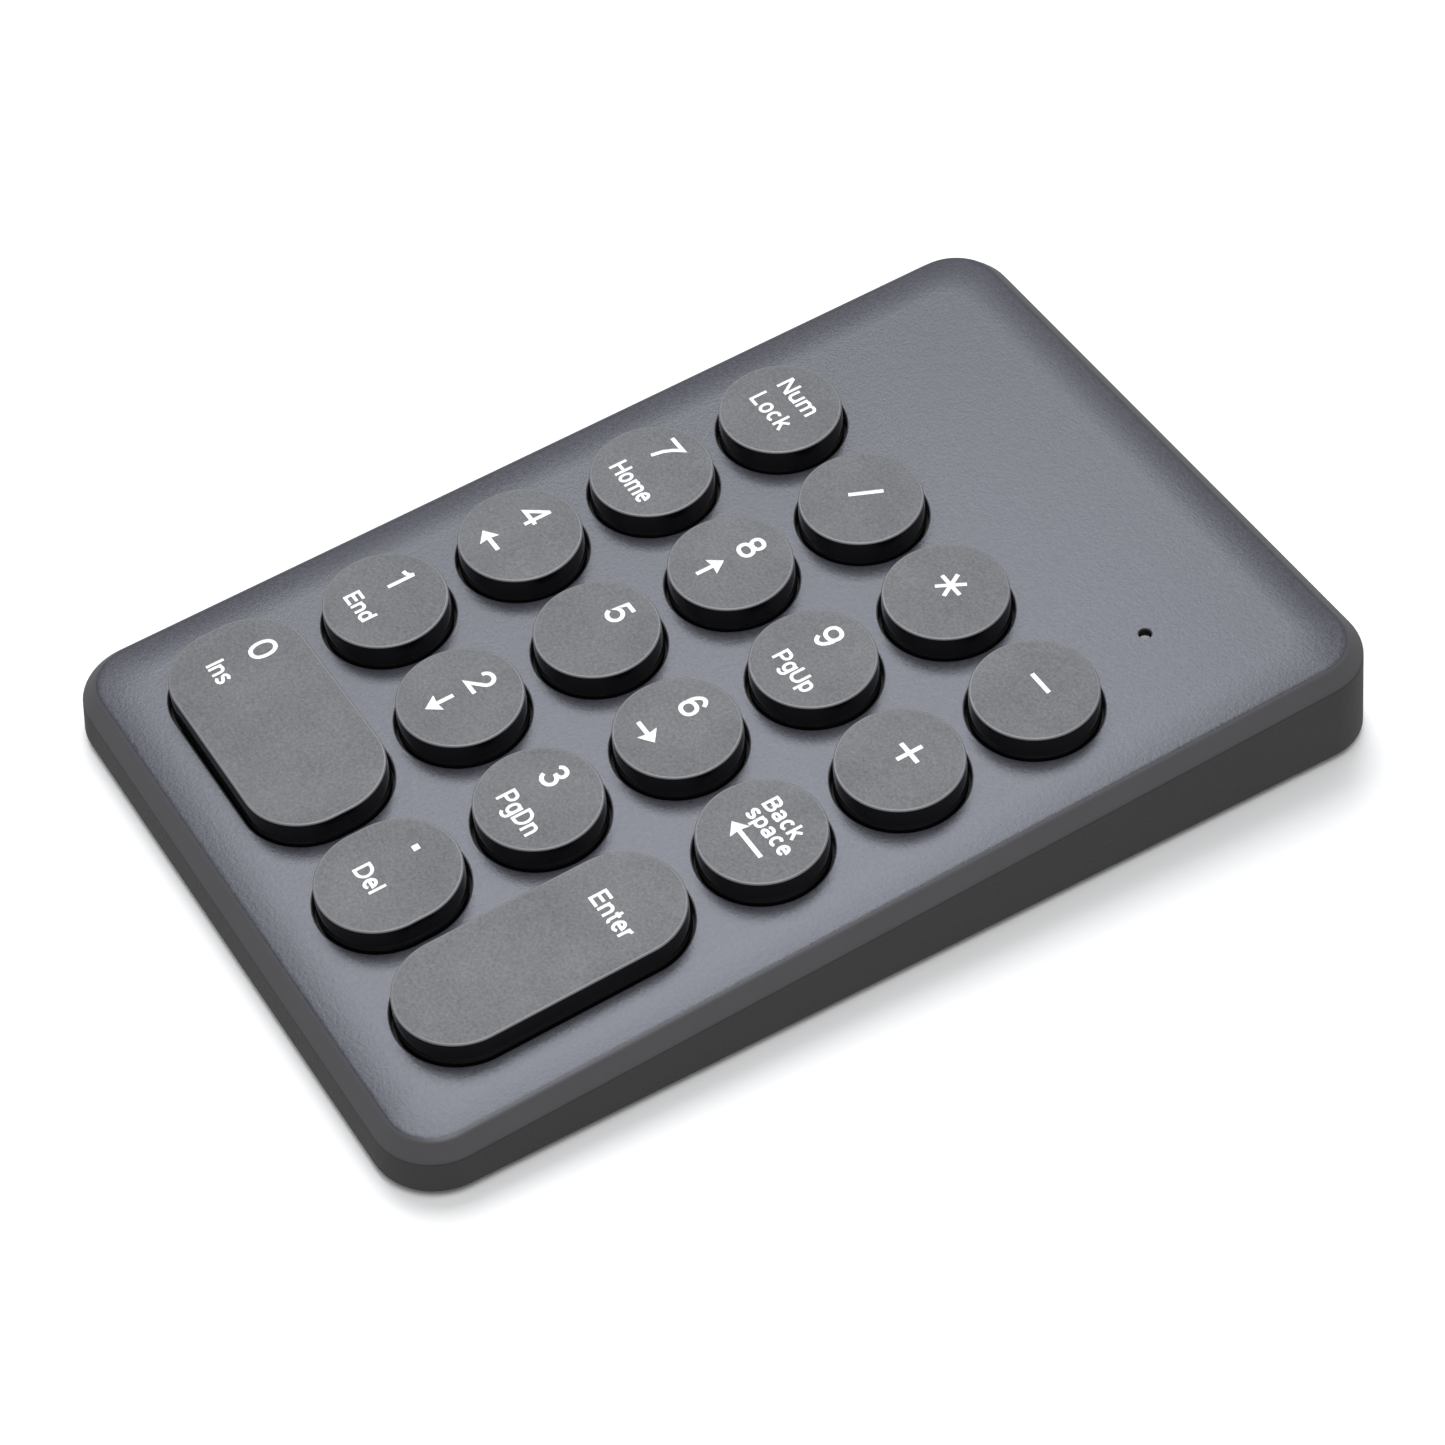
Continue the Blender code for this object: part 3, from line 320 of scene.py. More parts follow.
def carve(mesh, cutters):
    """mesh with the cutters' meshes cut from it."""
    blank = add("blank", mesh)
    others = []
    for index, cutter in enumerate(cutters):
        other = add(f"cutter{index}", cutter)
        others.append(other)
        modifier = blank.modifiers.new(other.name, "BOOLEAN")
        modifier.object = other
        modifier.operation = "DIFFERENCE"
        modifier.solver = "EXACT"
        modifier.use_self = True
        modifier.material_mode = "TRANSFER"
    result = evaluated(blank)
    for obj in [blank, *others]:
        bpy.data.objects.remove(obj)
    return result


def joined(name, meshes):
    """One mesh with every one of the meshes in it."""
    shape = bmesh.new()
    for mesh in meshes:
        shape.from_mesh(mesh)
    result = bpy.data.meshes.new(name)
    shape.to_mesh(result)
    shape.free()
    return result


def box(x0, x1, y0, y1, z0, z1):
    shape = bmesh.new()
    middle = Matrix.Translation(mm((x0 + x1) / 2, (y0 + y1) / 2, (z0 + z1) / 2))
    size = Matrix.Diagonal((*mm(x1 - x0, y1 - y0, z1 - z0), 1.0))
    bmesh.ops.create_cube(shape, size=1.0, matrix=middle @ size)
    mesh = bpy.data.meshes.new("box")
    shape.to_mesh(mesh)
    shape.free()
    return mesh


def prism(name, points, bottom, top):
    """A flat shape of (x, y) points, given height."""
    return loft(name, [level(points, top), level(points, bottom)])


def placed(mesh, x, y):
    mesh.transform(Matrix.Translation(mm(x, y, 0)))
    return mesh


def ridden(obj, body, slot, *nodes):
    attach(obj, body)
    if nodes:
        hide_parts(*nodes)
    return obj


# ---- materials ----
# most of a noise texture's values lie between these two
NOISE_LOW, NOISE_HIGH = 0.3, 0.7


class Nodes:
    """Shorthand for building a material's node tree."""

    def __init__(self, name):
        self.material = bpy.data.materials.new(name)
        self.material.use_nodes = True
        self.tree = self.material.node_tree
        self.shader = self.tree.nodes["Principled BSDF"]
        self.coordinates = self.tree.nodes.new("ShaderNodeTexCoord").outputs["Object"]

    def set(self, **values):
        for name, value in values.items():
            self.shader.inputs[name.replace("_", " ")].default_value = value

    def noise(self, scale, detail=3.0, roughness=0.6, stretch=None):
        node = self.tree.nodes.new("ShaderNodeTexNoise")
        node.inputs["Scale"].default_value = scale
        node.inputs["Detail"].default_value = detail
        node.inputs["Roughness"].default_value = roughness
        source = self.coordinates
        if stretch:
            mapping = self.tree.nodes.new("ShaderNodeMapping")
            mapping.inputs["Scale"].default_value = stretch
            self.tree.links.new(source, mapping.inputs["Vector"])
            source = mapping.outputs["Vector"]
        self.tree.links.new(source, node.inputs["Vector"])
        return node.outputs["Fac"]

    def spread(self, value, low, high):
        node = self.tree.nodes.new("ShaderNodeMapRange")
        ends = {"From Min": NOISE_LOW, "From Max": NOISE_HIGH, "To Min": low, "To Max": high}
        for name, number in ends.items():
            node.inputs[name].default_value = number
        self.tree.links.new(value, node.inputs["Value"])
        return node.outputs["Result"]

    def ramp(self, value, dark, light, start=NOISE_LOW, end=NOISE_HIGH):
        node = self.tree.nodes.new("ShaderNodeValToRGB")
        first, last = node.color_ramp.elements
        first.position, first.color = start, (*dark, 1.0)
        last.position, last.color = end, (*light, 1.0)
        self.tree.links.new(value, node.inputs["Fac"])
        return node.outputs["Color"]

    def bump(self, value, height_mm, onto=None):
        node = self.tree.nodes.new("ShaderNodeBump")
        node.inputs["Strength"].default_value = 1.0
        node.inputs["Distance"].default_value = mm(height_mm)
        self.tree.links.new(value, node.inputs["Height"])
        if onto:
            self.tree.links.new(onto, node.inputs["Normal"])
        return node.outputs["Normal"]

    def use(self, name, value):
        self.tree.links.new(value, self.shader.inputs[name])


def shades(colour, spread):
    """A darker and a lighter version of a colour."""
    return tuple(c * (1 - spread) for c in colour), tuple(c * (1 + spread) for c in colour)


def moulded(name, colour, roughness, grain=4200, height=0.012, spread=0.06, patches=90, **sockets):
    """Moulded plastic or rubber: a fine grain, slow changes of shade, and uneven gloss."""
    made = Nodes(name)
    fine = made.noise(grain, 2.0, 0.5)
    slow = made.noise(patches, 4.0, 0.55)
    made.use("Base Color", made.ramp(slow, *shades(colour, spread)))
    made.use("Roughness", made.spread(fine, roughness - 0.05, roughness + 0.05))
    made.use("Normal", made.bump(made.noise(grain * 0.35, 2.0), height * 0.7, onto=made.bump(fine, height)))
    made.set(**sockets)
    return made.material


def metal(name, colour, roughness, along=(1, 1, 1), lines=900, height=0.004):
    """Bare metal with fine lines from rolling or drawing."""
    made = Nodes(name)
    made.set(Metallic=1.0)
    streaks = made.noise(lines, 3.0, 0.6, along)
    made.use("Base Color", made.ramp(streaks, *shades(colour, 0.1)))
    made.use("Roughness", made.spread(streaks, roughness - 0.07, roughness + 0.1))
    made.use("Normal", made.bump(streaks, height))
    return made.material


def case_material():
    """Satin, bluish grey finish of the deck, with a fine grain."""
    made = Nodes("case_grey")
    fine = made.noise(2500, 3.0, 0.65)
    made.use("Base Color", made.ramp(fine, *shades((0.0405, 0.0410, 0.0500), 0.2)))
    made.use("Roughness", made.spread(fine, 0.27, 0.36))
    made.use("Normal", made.bump(made.noise(1400, 2.0), 0.012, onto=made.bump(fine, 0.022)))
    made.set(**{"Specular IOR Level": 0.6, "Specular Tint": (0.87, 0.9, 1.0, 1.0)})
    return made.material


def key_top_material():
    """Matt grey print on the key tops, with a visible sandy grain."""
    made = Nodes("key_top")
    grain = made.noise(2600, 3.0, 0.7)
    made.use("Base Color", made.ramp(grain, *shades((0.082, 0.083, 0.09), 0.4)))
    made.use("Roughness", made.spread(made.noise(120, 3.0), 0.44, 0.54))
    made.use("Normal", made.bump(made.noise(1900, 2.0), 0.014, onto=made.bump(grain, 0.026)))
    return made.material


def silicone_material():
    made = Nodes("silicone")
    slow = made.noise(150, 3.0)
    made.use("Base Color", made.ramp(slow, (0.56, 0.57, 0.58), (0.68, 0.69, 0.7)))
    made.use("Roughness", made.spread(made.noise(1800), 0.45, 0.62))
    made.use("Normal", made.bump(made.noise(2500), 0.006))
    made.set(**{"Subsurface Weight": 0.35, "Subsurface Scale": 0.002})
    return made.material


def film_material():
    """Clear polyester film with dark printed tracks."""
    made = Nodes("clear_film")
    tracks = made.tree.nodes.new("ShaderNodeTexWave")
    tracks.inputs["Scale"].default_value = 95
    tracks.inputs["Distortion"].default_value = 1.5
    made.tree.links.new(made.coordinates, tracks.inputs["Vector"])
    clear, printed = (0.55, 0.62, 0.6), (0.18, 0.19, 0.19)
    made.use("Base Color", made.ramp(tracks.outputs["Fac"], clear, printed, 0.8, 0.86))
    made.use("Roughness", made.spread(made.noise(900), 0.15, 0.3))
    return made.material


def board_material():
    """Green solder mask with faint copper tracks under it."""
    made = Nodes("board_green")
    tracks = made.tree.nodes.new("ShaderNodeTexVoronoi")
    tracks.inputs["Scale"].default_value = 420
    made.tree.links.new(made.coordinates, tracks.inputs["Vector"])
    made.use("Base Color", made.ramp(tracks.outputs["Distance"], (0.02, 0.13, 0.06), (0.04, 0.22, 0.1)))
    made.use("Roughness", made.spread(made.noise(1500), 0.25, 0.4))
    made.use("Normal", made.bump(tracks.outputs["Distance"], 0.02))
    return made.material


def paint(nodes, material):
    for name in nodes:
        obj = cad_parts[name]
        obj.data.materials.clear()
        obj.data.materials.append(material)


CASE = case_material()
# the chamfer and the walls keep their own grain and gloss; the chamfer's lighter colour is painted light
# and the walls' darker colour is painted shade
CASE_EDGE_FINISH_AND_PAINTED_LIGHT = moulded("case_edge_finish_and_painted_light", (0.062, 0.061, 0.067), 0.42, 3600, 0.004, 0.04)
CASE_WALL_FINISH_AND_PAINTED_SHADE = moulded("case_wall_finish_and_painted_shade", (0.028, 0.028, 0.0285), 0.5, 2800, 0.01, 0.05)
KEY_TOP = key_top_material()
# lighter grey on the upper part of each key's top edge: a painted highlight along the rim
KEY_RIM_PAINTED_HIGHLIGHT = moulded("key_rim_painted_highlight", (0.15, 0.15, 0.16), 0.34, 3600, 0.004, 0.04)
KEY_SIDE = moulded("key_side", (0.004, 0.004, 0.0045), 0.16, 2600, 0.003, **{"Specular IOR Level": 0.5})
INK = moulded("legend_white", (0.86, 0.87, 0.88), 0.5, 3500, 0.004, 0.02)
BLACK = moulded("black_plastic", (0.018, 0.018, 0.019), 0.48, 3000, 0.014, 0.08)
RUBBER = moulded("rubber", (0.014, 0.014, 0.014), 0.8, 1900, 0.02, 0.12)
SMOKE = moulded("smoke", (0.006, 0.006, 0.007), 0.12, 2200, 0.002)
JACKET = moulded("cell_jacket", (0.04, 0.08, 0.2), 0.28, 1400, 0.003, 0.1, 200)
STEEL = metal("steel", (0.55, 0.55, 0.56), 0.28, (1, 10, 1))
NICKEL = metal("nickel", (0.62, 0.6, 0.57), 0.22, lines=700, height=0.002)
SILICONE = silicone_material()
FILM = film_material()
BOARD = board_material()


# ---- the case ----
def deck_outline(offset):
    """Outline at an offset outside the crest of the deck, or inside it where it is negative."""
    radius = CREST_RADIUS + (offset if offset > 0 else offset / 2)
    return rounded_outline(
        -CREST_X - offset,
        CREST_X + offset,
        CREST_FRONT - offset,
        CREST_REAR + offset,
        radius,
        CORNER_STEPS,
    )


def wall_outline(inset, share, steps=CORNER_STEPS):
    """Outline of the walls, at a share of the way from the chamfer's foot to the underside."""
    return rounded_outline(
        -CASE_X + inset,
        CASE_X - inset,
        CREST_FRONT - CHAMFER_OUT - FLARE_FRONT * share + inset,
        CREST_REAR + CHAMFER_OUT + FLARE_REAR * share - inset,
        CASE_RADIUS - inset,
        steps,
    )


def hole_cutter():
    """A key hole with a rounded rim."""
    radius, rim = KEY_HOLE_RADIUS, HOLE_ROUND
    above = radius + rim + 0.4
    profile = [(0, CUTTER_TOP), (above, CUTTER_TOP), (above, 0.02)]
    profile += bend((radius + rim, 0.0), (radius, 0.0), (radius, -rim), 4)
    profile += [(radius, CUTTER_BOTTOM), (0, CUTTER_BOTTOM)]
    return turned("hole", profile, 80)


def make_case_top():
    sections = []
    for step in range(DECK_RINGS):
        inset = ROLL_WIDTH * (1 - step / DECK_RINGS)
        fall = ROLL_OFF * (1 - inset / ROLL_WIDTH) ** 2
        sections.append(level(deck_outline(-inset), -fall))
    crest = bend(
        (-CREST_IN, -ROLL_OFF + CREST_RISE),
        (0.0, -ROLL_OFF),
        (CREST_OUT, -ROLL_OFF - CREST_FALL),
        5,
    )
    sections += [level(deck_outline(offset), height) for offset, height in crest]
    foot = bend(
        (CHAMFER_OUT - EDGE_ROUND, CHAMFER_Z + EDGE_ROUND),
        (CHAMFER_OUT, CHAMFER_Z),
        (CHAMFER_OUT, CHAMFER_Z - EDGE_ROUND),
        4,
    )
    sections += [level(deck_outline(offset), height) for offset, height in foot]
    for inset, share, height in WALL_FOOT:
        sections.append(level(wall_outline(inset, share), lambda y: base_depth(y) + height))
    outer = loft("case_top", sections)
    cavity = loft(
        "cavity",
        [
            level(wall_outline(CAVITY_SHOULDER, 0.0, 6), -DECK_THICKNESS),
            level(wall_outline(WALL_THICKNESS, 0.0, 6), CHAMFER_Z - 0.6),
            level(wall_outline(WALL_THICKNESS, 1.0, 6), lambda y: base_depth(y) - 2),
        ],
    )
    holes = [
        placed(pull_apart(hole_cutter(), stretch_x, stretch_y), x, y)
        for x, y, stretch_x, stretch_y in KEYS.values()
    ]
    rim = [(0, CUTTER_TOP), (LED_HOLE_RADIUS + 0.2, CUTTER_TOP)]
    rim += [(LED_HOLE_RADIUS + LED_HOLE_ROUND, 0.0), (LED_HOLE_RADIUS, -LED_HOLE_ROUND)]
    rim += [(LED_HOLE_RADIUS, CUTTER_BOTTOM), (0, CUTTER_BOTTOM)]
    holes.append(placed(turned("led_hole", rim, 32), LED_X, LED_Y))
    mesh = carve(outer, [cavity, joined("holes", holes)])
    mesh.transform(DECK)
    low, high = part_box("receiver_head")
    grow = Vector(WINDOW_GROWTH_METRES)
    low, high = (low - grow) * 1000, (high + grow) * 1000
    window = box(low.x, high.x, high.y - WINDOW_DEPTH, high.y, low.z, high.z)
    mesh = carve(mesh, [window])
    mesh.name = "case_top"
    shell = add("case_top", mesh, CASE, CASE_EDGE_FINISH_AND_PAINTED_LIGHT, CASE_WALL_FINISH_AND_PAINTED_SHADE)
    out_of_deck = DECK.to_3x3() @ Vector((0, 0, 1))
    # faces take a colour by their lean: the chamfer a lighter one as painted light, the walls a darker one
    # as painted shade
    for face in mesh.polygons:
        lean = face.normal.dot(out_of_deck)
        face.material_index = 0 if lean > DECK_LEAN else 1 if lean > EDGE_LEAN else 2
    smooth(mesh, 32)
    modifier = shell.modifiers.new("weighted", "WEIGHTED_NORMAL")
    modifier.keep_sharp = True
    modifier.weight = 70
    ridden(shell, "case", "case_grey", "top_cover")


# ---- keys ----
def key_profile():
    """The outside of a key cap, from the middle of its top down to its skirt, and back up inside."""
    top = KEY_RISE
    profile = [(0, top), (KEY_RADIUS - KEY_EDGE - 0.02, top)]
    profile += bend((KEY_RADIUS - KEY_EDGE, top), (KEY_RADIUS, top), (KEY_RADIUS, top - KEY_EDGE), 5)
    profile += bend(*[(KEY_SKIRT_RADIUS - inset, height) for inset, height in KEY_FLARE], 4)
    profile += [(KEY_SKIRT_RADIUS, -KEY_SKIRT_DEPTH), (KEY_BORE_RADIUS, -KEY_SKIRT_DEPTH)]
    profile += [(KEY_BORE_RADIUS, top - KEY_ROOF), (0, top - KEY_ROOF)]
    return profile


def stroke(x, y, length, width, degrees):
    half_length, half_width = length / 2, width / 2
    corners = [(-half_length, -half_width), (half_length, -half_width), (half_length, half_width)]
    corners.append((-half_length, half_width))
    turn = Matrix.Rotation(math.radians(degrees), 2)
    points = [turn @ Vector(corner) for corner in corners]
    return [(x + p.x, y + p.y) for p in points]


def arrow(x, y, length, degrees):
    """An arrow whose head's barbs sweep back a little."""
    half = ARROW_SHAFT / 2
    neck = -ARROW_HEAD * ARROW_NECK
    outline = [
        (0, 0),
        (-ARROW_HEAD, ARROW_SPREAD),
        (neck, half),
        (-length, half),
        (-length, -half),
        (neck, -half),
        (-ARROW_HEAD, -ARROW_SPREAD),
    ]
    turn = Matrix.Rotation(math.radians(degrees), 2)
    points = [turn @ Vector(point) for point in outline]
    return [(x + p.x, y + p.y) for p in points]


def ribbon(points, width, bottom, top, closed=False):
    """A line of (x, y) points given width and height. Its corners are mitred and its ends are square."""
    points = [Vector(point) for point in points]
    count = len(points)
    half = width / 2
    left, right = [], []
    for i, point in enumerate(points):
        before = points[i - 1] if closed or i else None
        after = points[(i + 1) % count] if closed or i < count - 1 else None
        along = [(point - before).normalized()] if before is not None else []
        along += [(after - point).normalized()] if after is not None else []
        sides = [Vector((-way.y, way.x)) for way in along]
        middle = (sides[0] + sides[-1]).normalized()
        reach = half / max(middle.dot(sides[0]), MITRE_LIMIT)
        left.append(point + middle * reach)
        right.append(point - middle * reach)
    shape = bmesh.new()
    rings = []
    for line in (left, right):
        for height in (top, bottom):
            rings.append([shape.verts.new(mm(p.x, p.y, height)) for p in line])
    left_top, left_bottom, right_top, right_bottom = rings
    for i in range(count if closed else count - 1):
        j = (i + 1) % count
        shape.faces.new((right_top[i], right_top[j], left_top[j], left_top[i]))
        shape.faces.new((left_bottom[i], left_bottom[j], right_bottom[j], right_bottom[i]))
        shape.faces.new((left_top[i], left_top[j], left_bottom[j], left_bottom[i]))
        shape.faces.new((right_bottom[i], right_bottom[j], right_top[j], right_top[i]))
    if not closed:
        shape.faces.new((left_top[0], left_bottom[0], right_bottom[0], right_top[0]))
        shape.faces.new((right_top[-1], right_bottom[-1], left_bottom[-1], left_top[-1]))
    mesh = bpy.data.meshes.new("ribbon")
    shape.to_mesh(mesh)
    shape.free()
    return mesh


def arc(x, y, radius_x, radius_y, start, end, steps=10):
    """Points of part of an ellipse, from one angle to another in degrees."""
    points = []
    for step in range(steps + 1):
        angle = math.radians(start + (end - start) * step / steps)
        points.append((x + radius_x * math.cos(angle), y + radius_y * math.sin(angle)))
    return points


def ring(x, y, radius_x, radius_y, steps=22):
    """A closed oval a little squarer than an ellipse. Its first point isn't repeated."""
    points = []
    for step in range(steps):
        angle = 2 * math.pi * step / steps
        wide, tall = math.cos(angle), math.sin(angle)
        points.append(
            (
                x + radius_x * math.copysign(abs(wide) ** OVAL_POWER, wide),
                y + radius_y * math.copysign(abs(tall) ** OVAL_POWER, tall),
            )
        )
    return points


def glyphs():
    """Plain sans-serif characters as centre lines: width, open lines and closed rings.

    A capital is 1 high, and a line's middle runs 0.07 inside the character's edge.
    """
    six_stem = arc(0.33, 0.45, 0.26, 0.48, 180, 38)
    return {
        "0": (0.64, [], [ring(0.32, 0.5, 0.25, 0.43)]),
        "1": (
            0.42,
            [[(0.02, 0.76), (0.16, 0.79), (0.27, 0.86), (0.33, 1.0)], [(0.33, 1.0), (0.33, 0)]],
            [],
        ),
        "2": (0.62, [arc(0.31, 0.68, 0.24, 0.25, 185, -38, 14) + [(0.08, 0.07), (0.6, 0.07)]], []),
        "3": (
            0.62,
            [
                arc(0.3, 0.74, 0.2, 0.19, 165, -90, 12) + [(0.24, 0.55)],
                arc(0.3, 0.3, 0.25, 0.24, 95, -170, 14),
            ],
            [],
        ),
        "4": (0.62, [[(0.46, 0), (0.46, 1)], [(0.45, 0.95), (0.07, 0.3), (0.62, 0.3)]], []),
        "5": (
            0.62,
            [[(0.55, 0.93), (0.17, 0.93), (0.11, 0.49), *arc(0.3, 0.33, 0.25, 0.27, 130, -165, 14)]],
            [],
        ),
        "6": (0.62, [six_stem], [ring(0.32, 0.32, 0.25, 0.25)]),
        "7": (0.6, [[(0.0, 0.93), (0.54, 0.93), (0.38, 0.68), (0.27, 0.38), (0.21, 0)]], []),
        "8": (0.62, [], [ring(0.31, 0.74, 0.2, 0.19), ring(0.31, 0.29, 0.24, 0.22)]),
        "9": (0.62, [[(0.62 - x, 1 - y) for x, y in six_stem]], [ring(0.3, 0.68, 0.25, 0.25)]),
        "B": (
            0.66,
            [
                [(0.36, 0.53), *arc(0.36, 0.3, 0.23, 0.23, 90, -90, 8), (0.07, 0.07), (0.07, 0.93)]
                + arc(0.34, 0.73, 0.21, 0.2, 90, -90, 8)
                + [(0.1, 0.53)]
            ],
            [],
        ),
        "D": (0.7, [], [[(0.07, 0.07), (0.07, 0.93), *arc(0.28, 0.5, 0.36, 0.43, 90, -90, 12)]]),
        "E": (
            0.62,
            [[(0.62, 0.93), (0.07, 0.93), (0.07, 0.07), (0.63, 0.07)], [(0.07, 0.52), (0.58, 0.52)]],
            [],
        ),
        "H": (0.7, [[(0.07, 0), (0.07, 1)], [(0.63, 0), (0.63, 1)], [(0.07, 0.53), (0.63, 0.53)]], []),
        "I": (0.14, [[(0.07, 0), (0.07, 1)]], []),
        "L": (0.55, [[(0.07, 1), (0.07, 0.07), (0.56, 0.07)]], []),
        "N": (0.72, [[(0.07, 0), (0.07, 1)], [(0.1, 0.97), (0.62, 0.03)], [(0.65, 0), (0.65, 1)]], []),
        "P": (
            0.64,
            [[(0.07, 0), (0.07, 0.93), *arc(0.36, 0.69, 0.22, 0.24, 90, -90, 8), (0.07, 0.45)]],
            [],
        ),
        "U": (0.7, [[(0.07, 1), *arc(0.35, 0.33, 0.28, 0.27, 180, 360, 10), (0.63, 1)]], []),
        "a": (
            0.56,
            [arc(0.26, 0.5, 0.19, 0.18, 165, 0, 8) + [(0.45, 0.12), (0.52, 0.04)]],
            [ring(0.25, 0.21, 0.19, 0.15, 16)],
        ),
        "c": (0.5, [arc(0.27, 0.37, 0.21, 0.31, 48, 312, 14)], []),
        "d": (0.56, [[(0.49, 0), (0.49, 1)]], [ring(0.28, 0.37, 0.21, 0.31)]),
        "e": (0.54, [[(0.06, 0.4), *arc(0.27, 0.37, 0.21, 0.31, 4, 318, 16)]], []),
        "g": (
            0.56,
            [[(0.49, 0.74), *arc(0.27, -0.04, 0.22, 0.19, 0, -160, 9)]],
            [ring(0.27, 0.38, 0.21, 0.3)],
        ),
        "k": (
            0.52,
            [[(0.07, 0), (0.07, 1)], [(0.47, 0.74), (0.1, 0.31)], [(0.22, 0.44), (0.49, 0)]],
            [],
        ),
        "l": (0.14, [[(0.07, 0), (0.07, 1)]], []),
        "m": (
            0.86,
            [
                [(0.07, 0), (0.07, 0.74)],
                arc(0.25, 0.5, 0.18, 0.19, 180, 0, 8) + [(0.43, 0)],
                arc(0.61, 0.5, 0.18, 0.19, 180, 0, 8) + [(0.79, 0)],
            ],
            [],
        ),
        "n": (
            0.55,
            [[(0.07, 0), (0.07, 0.74)], arc(0.275, 0.47, 0.205, 0.22, 180, 0, 8) + [(0.48, 0)]],
            [],
        ),
        "o": (0.56, [], [ring(0.28, 0.37, 0.21, 0.31)]),
        "p": (0.56, [[(0.07, 0.74), (0.07, -0.26)]], [ring(0.28, 0.37, 0.21, 0.31)]),
        "r": (0.34, [[(0.07, 0), (0.07, 0.74)], arc(0.3, 0.44, 0.22, 0.25, 175, 88, 6)], []),
        "s": (
            0.5,
            [arc(0.25, 0.54, 0.18, 0.15, 25, 255, 9) + arc(0.25, 0.21, 0.19, 0.16, 80, -160, 9)],
            [],
        ),
        "t": (
            0.34,
            [[(0.17, 0.95), *arc(0.31, 0.2, 0.14, 0.15, 180, 275, 5)], [(0.0, 0.68), (0.34, 0.68)]],
            [],
        ),
        "u": (
            0.55,
            [[(0.07, 0.74), *arc(0.275, 0.27, 0.205, 0.21, 180, 360, 8)], [(0.48, 0.74), (0.48, 0)]],
            [],
        ),
    }


GLYPHS = glyphs()


def word_cutters(words, x0, x1, top, foot, bottom, above):
    """Solid characters that reach from x0 to x1, with capitals from foot to top."""
    wide = sum(GLYPHS[character][0] for character in words) + LETTER_GAP * (len(words) - 1)
    scale_x, scale_y = (x1 - x0) / wide, top - foot
    width = DIGIT_LINE if words[0].isdigit() else WORD_LINE
    cutters = []
    start = 0.0
    for character in words:
        advance, lines, rings = GLYPHS[character]
        for closed, group in ((False, lines), (True, rings)):
            for line in group:
                points = [(x0 + (start + x) * scale_x, foot + y * scale_y) for x, y in line]
                cutters.append(ribbon(points, width, bottom, above, closed))
        start += advance + LETTER_GAP
    return cutters


def legend_cutters(name):
    """Solids in the deck frame whose floors are the floors of the key's engraved legend."""
    bottom, above = KEY_RISE - ENGRAVING, KEY_RISE + 1
    cutters = []
    for word in WORDS.get(name, []):
        cutters += word_cutters(*word, bottom, above)
    shapes = [stroke(*numbers) for numbers in STROKES.get(name, [])]
    if name in ARROWS:
        shapes.append(arrow(*ARROWS[name]))
    return cutters + [prism("bar", shape, bottom, above) for shape in shapes]


def make_keys():
    floor_height = mm(KEY_RISE - ENGRAVING)
    for name, (x, y, stretch_x, stretch_y) in KEYS.items():
        cap = turned(name, key_profile(), 96)
        placed(pull_apart(cap, stretch_x, stretch_y), x, y)
        for material in (KEY_TOP, KEY_RIM_PAINTED_HIGHLIGHT, KEY_SIDE, INK):
            cap.materials.append(material)
        cutter = joined("legend", legend_cutters(name))
        cutter.materials.append(INK)
        mesh = carve(cap, [cutter])
        mesh.name = name
        order = [slot.name for slot in mesh.materials]
        top, rim, side, ink = (order.index(m.name) for m in (KEY_TOP, KEY_RIM_PAINTED_HIGHLIGHT, KEY_SIDE, INK))
        for face in mesh.polygons:
            low = min(mesh.vertices[i].co.z for i in face.vertices)
            high = max(mesh.vertices[i].co.z for i in face.vertices)
            engraved = low > floor_height - 1e-6 and (face.normal.z > 0.999 or abs(face.normal.z) < 0.001)
            if low > mm(KEY_RISE) - 1e-6:
                face.material_index = top
            elif engraved:
                face.material_index = ink
            # the upper part of the top edge's rounding gets the lighter rim colour, a painted highlight
            elif high > mm(KEY_RISE - KEY_EDGE * 0.5) and face.normal.z > 0.25:
                face.material_index = rim
            else:
                face.material_index = side
        mesh.transform(DECK)
        smooth(mesh, 35)
        cap_object = add(f"{name}_cap", mesh)
        ridden(cap_object, name, "key_grey", name)


# ---- the silicone sheet ----
SHEET_X, SHEET_FRONT, SHEET_REAR, SHEET_CORNER = 37.6, -59.4, 38.6, 3.0
SHEET_TOP, SHEET_BOTTOM, SHEET_HOLE_RADIUS = -4.3, -4.7, 3.3
DOME_HEIGHT, DOME_ROOF, DOME_TOP_RADIUS, DOME_INNER_TOP = 2.0, 0.5, 1.5, 1.3
DOME_FOOT_RADIUS, DOME_INNER_FOOT = 3.25, 2.8


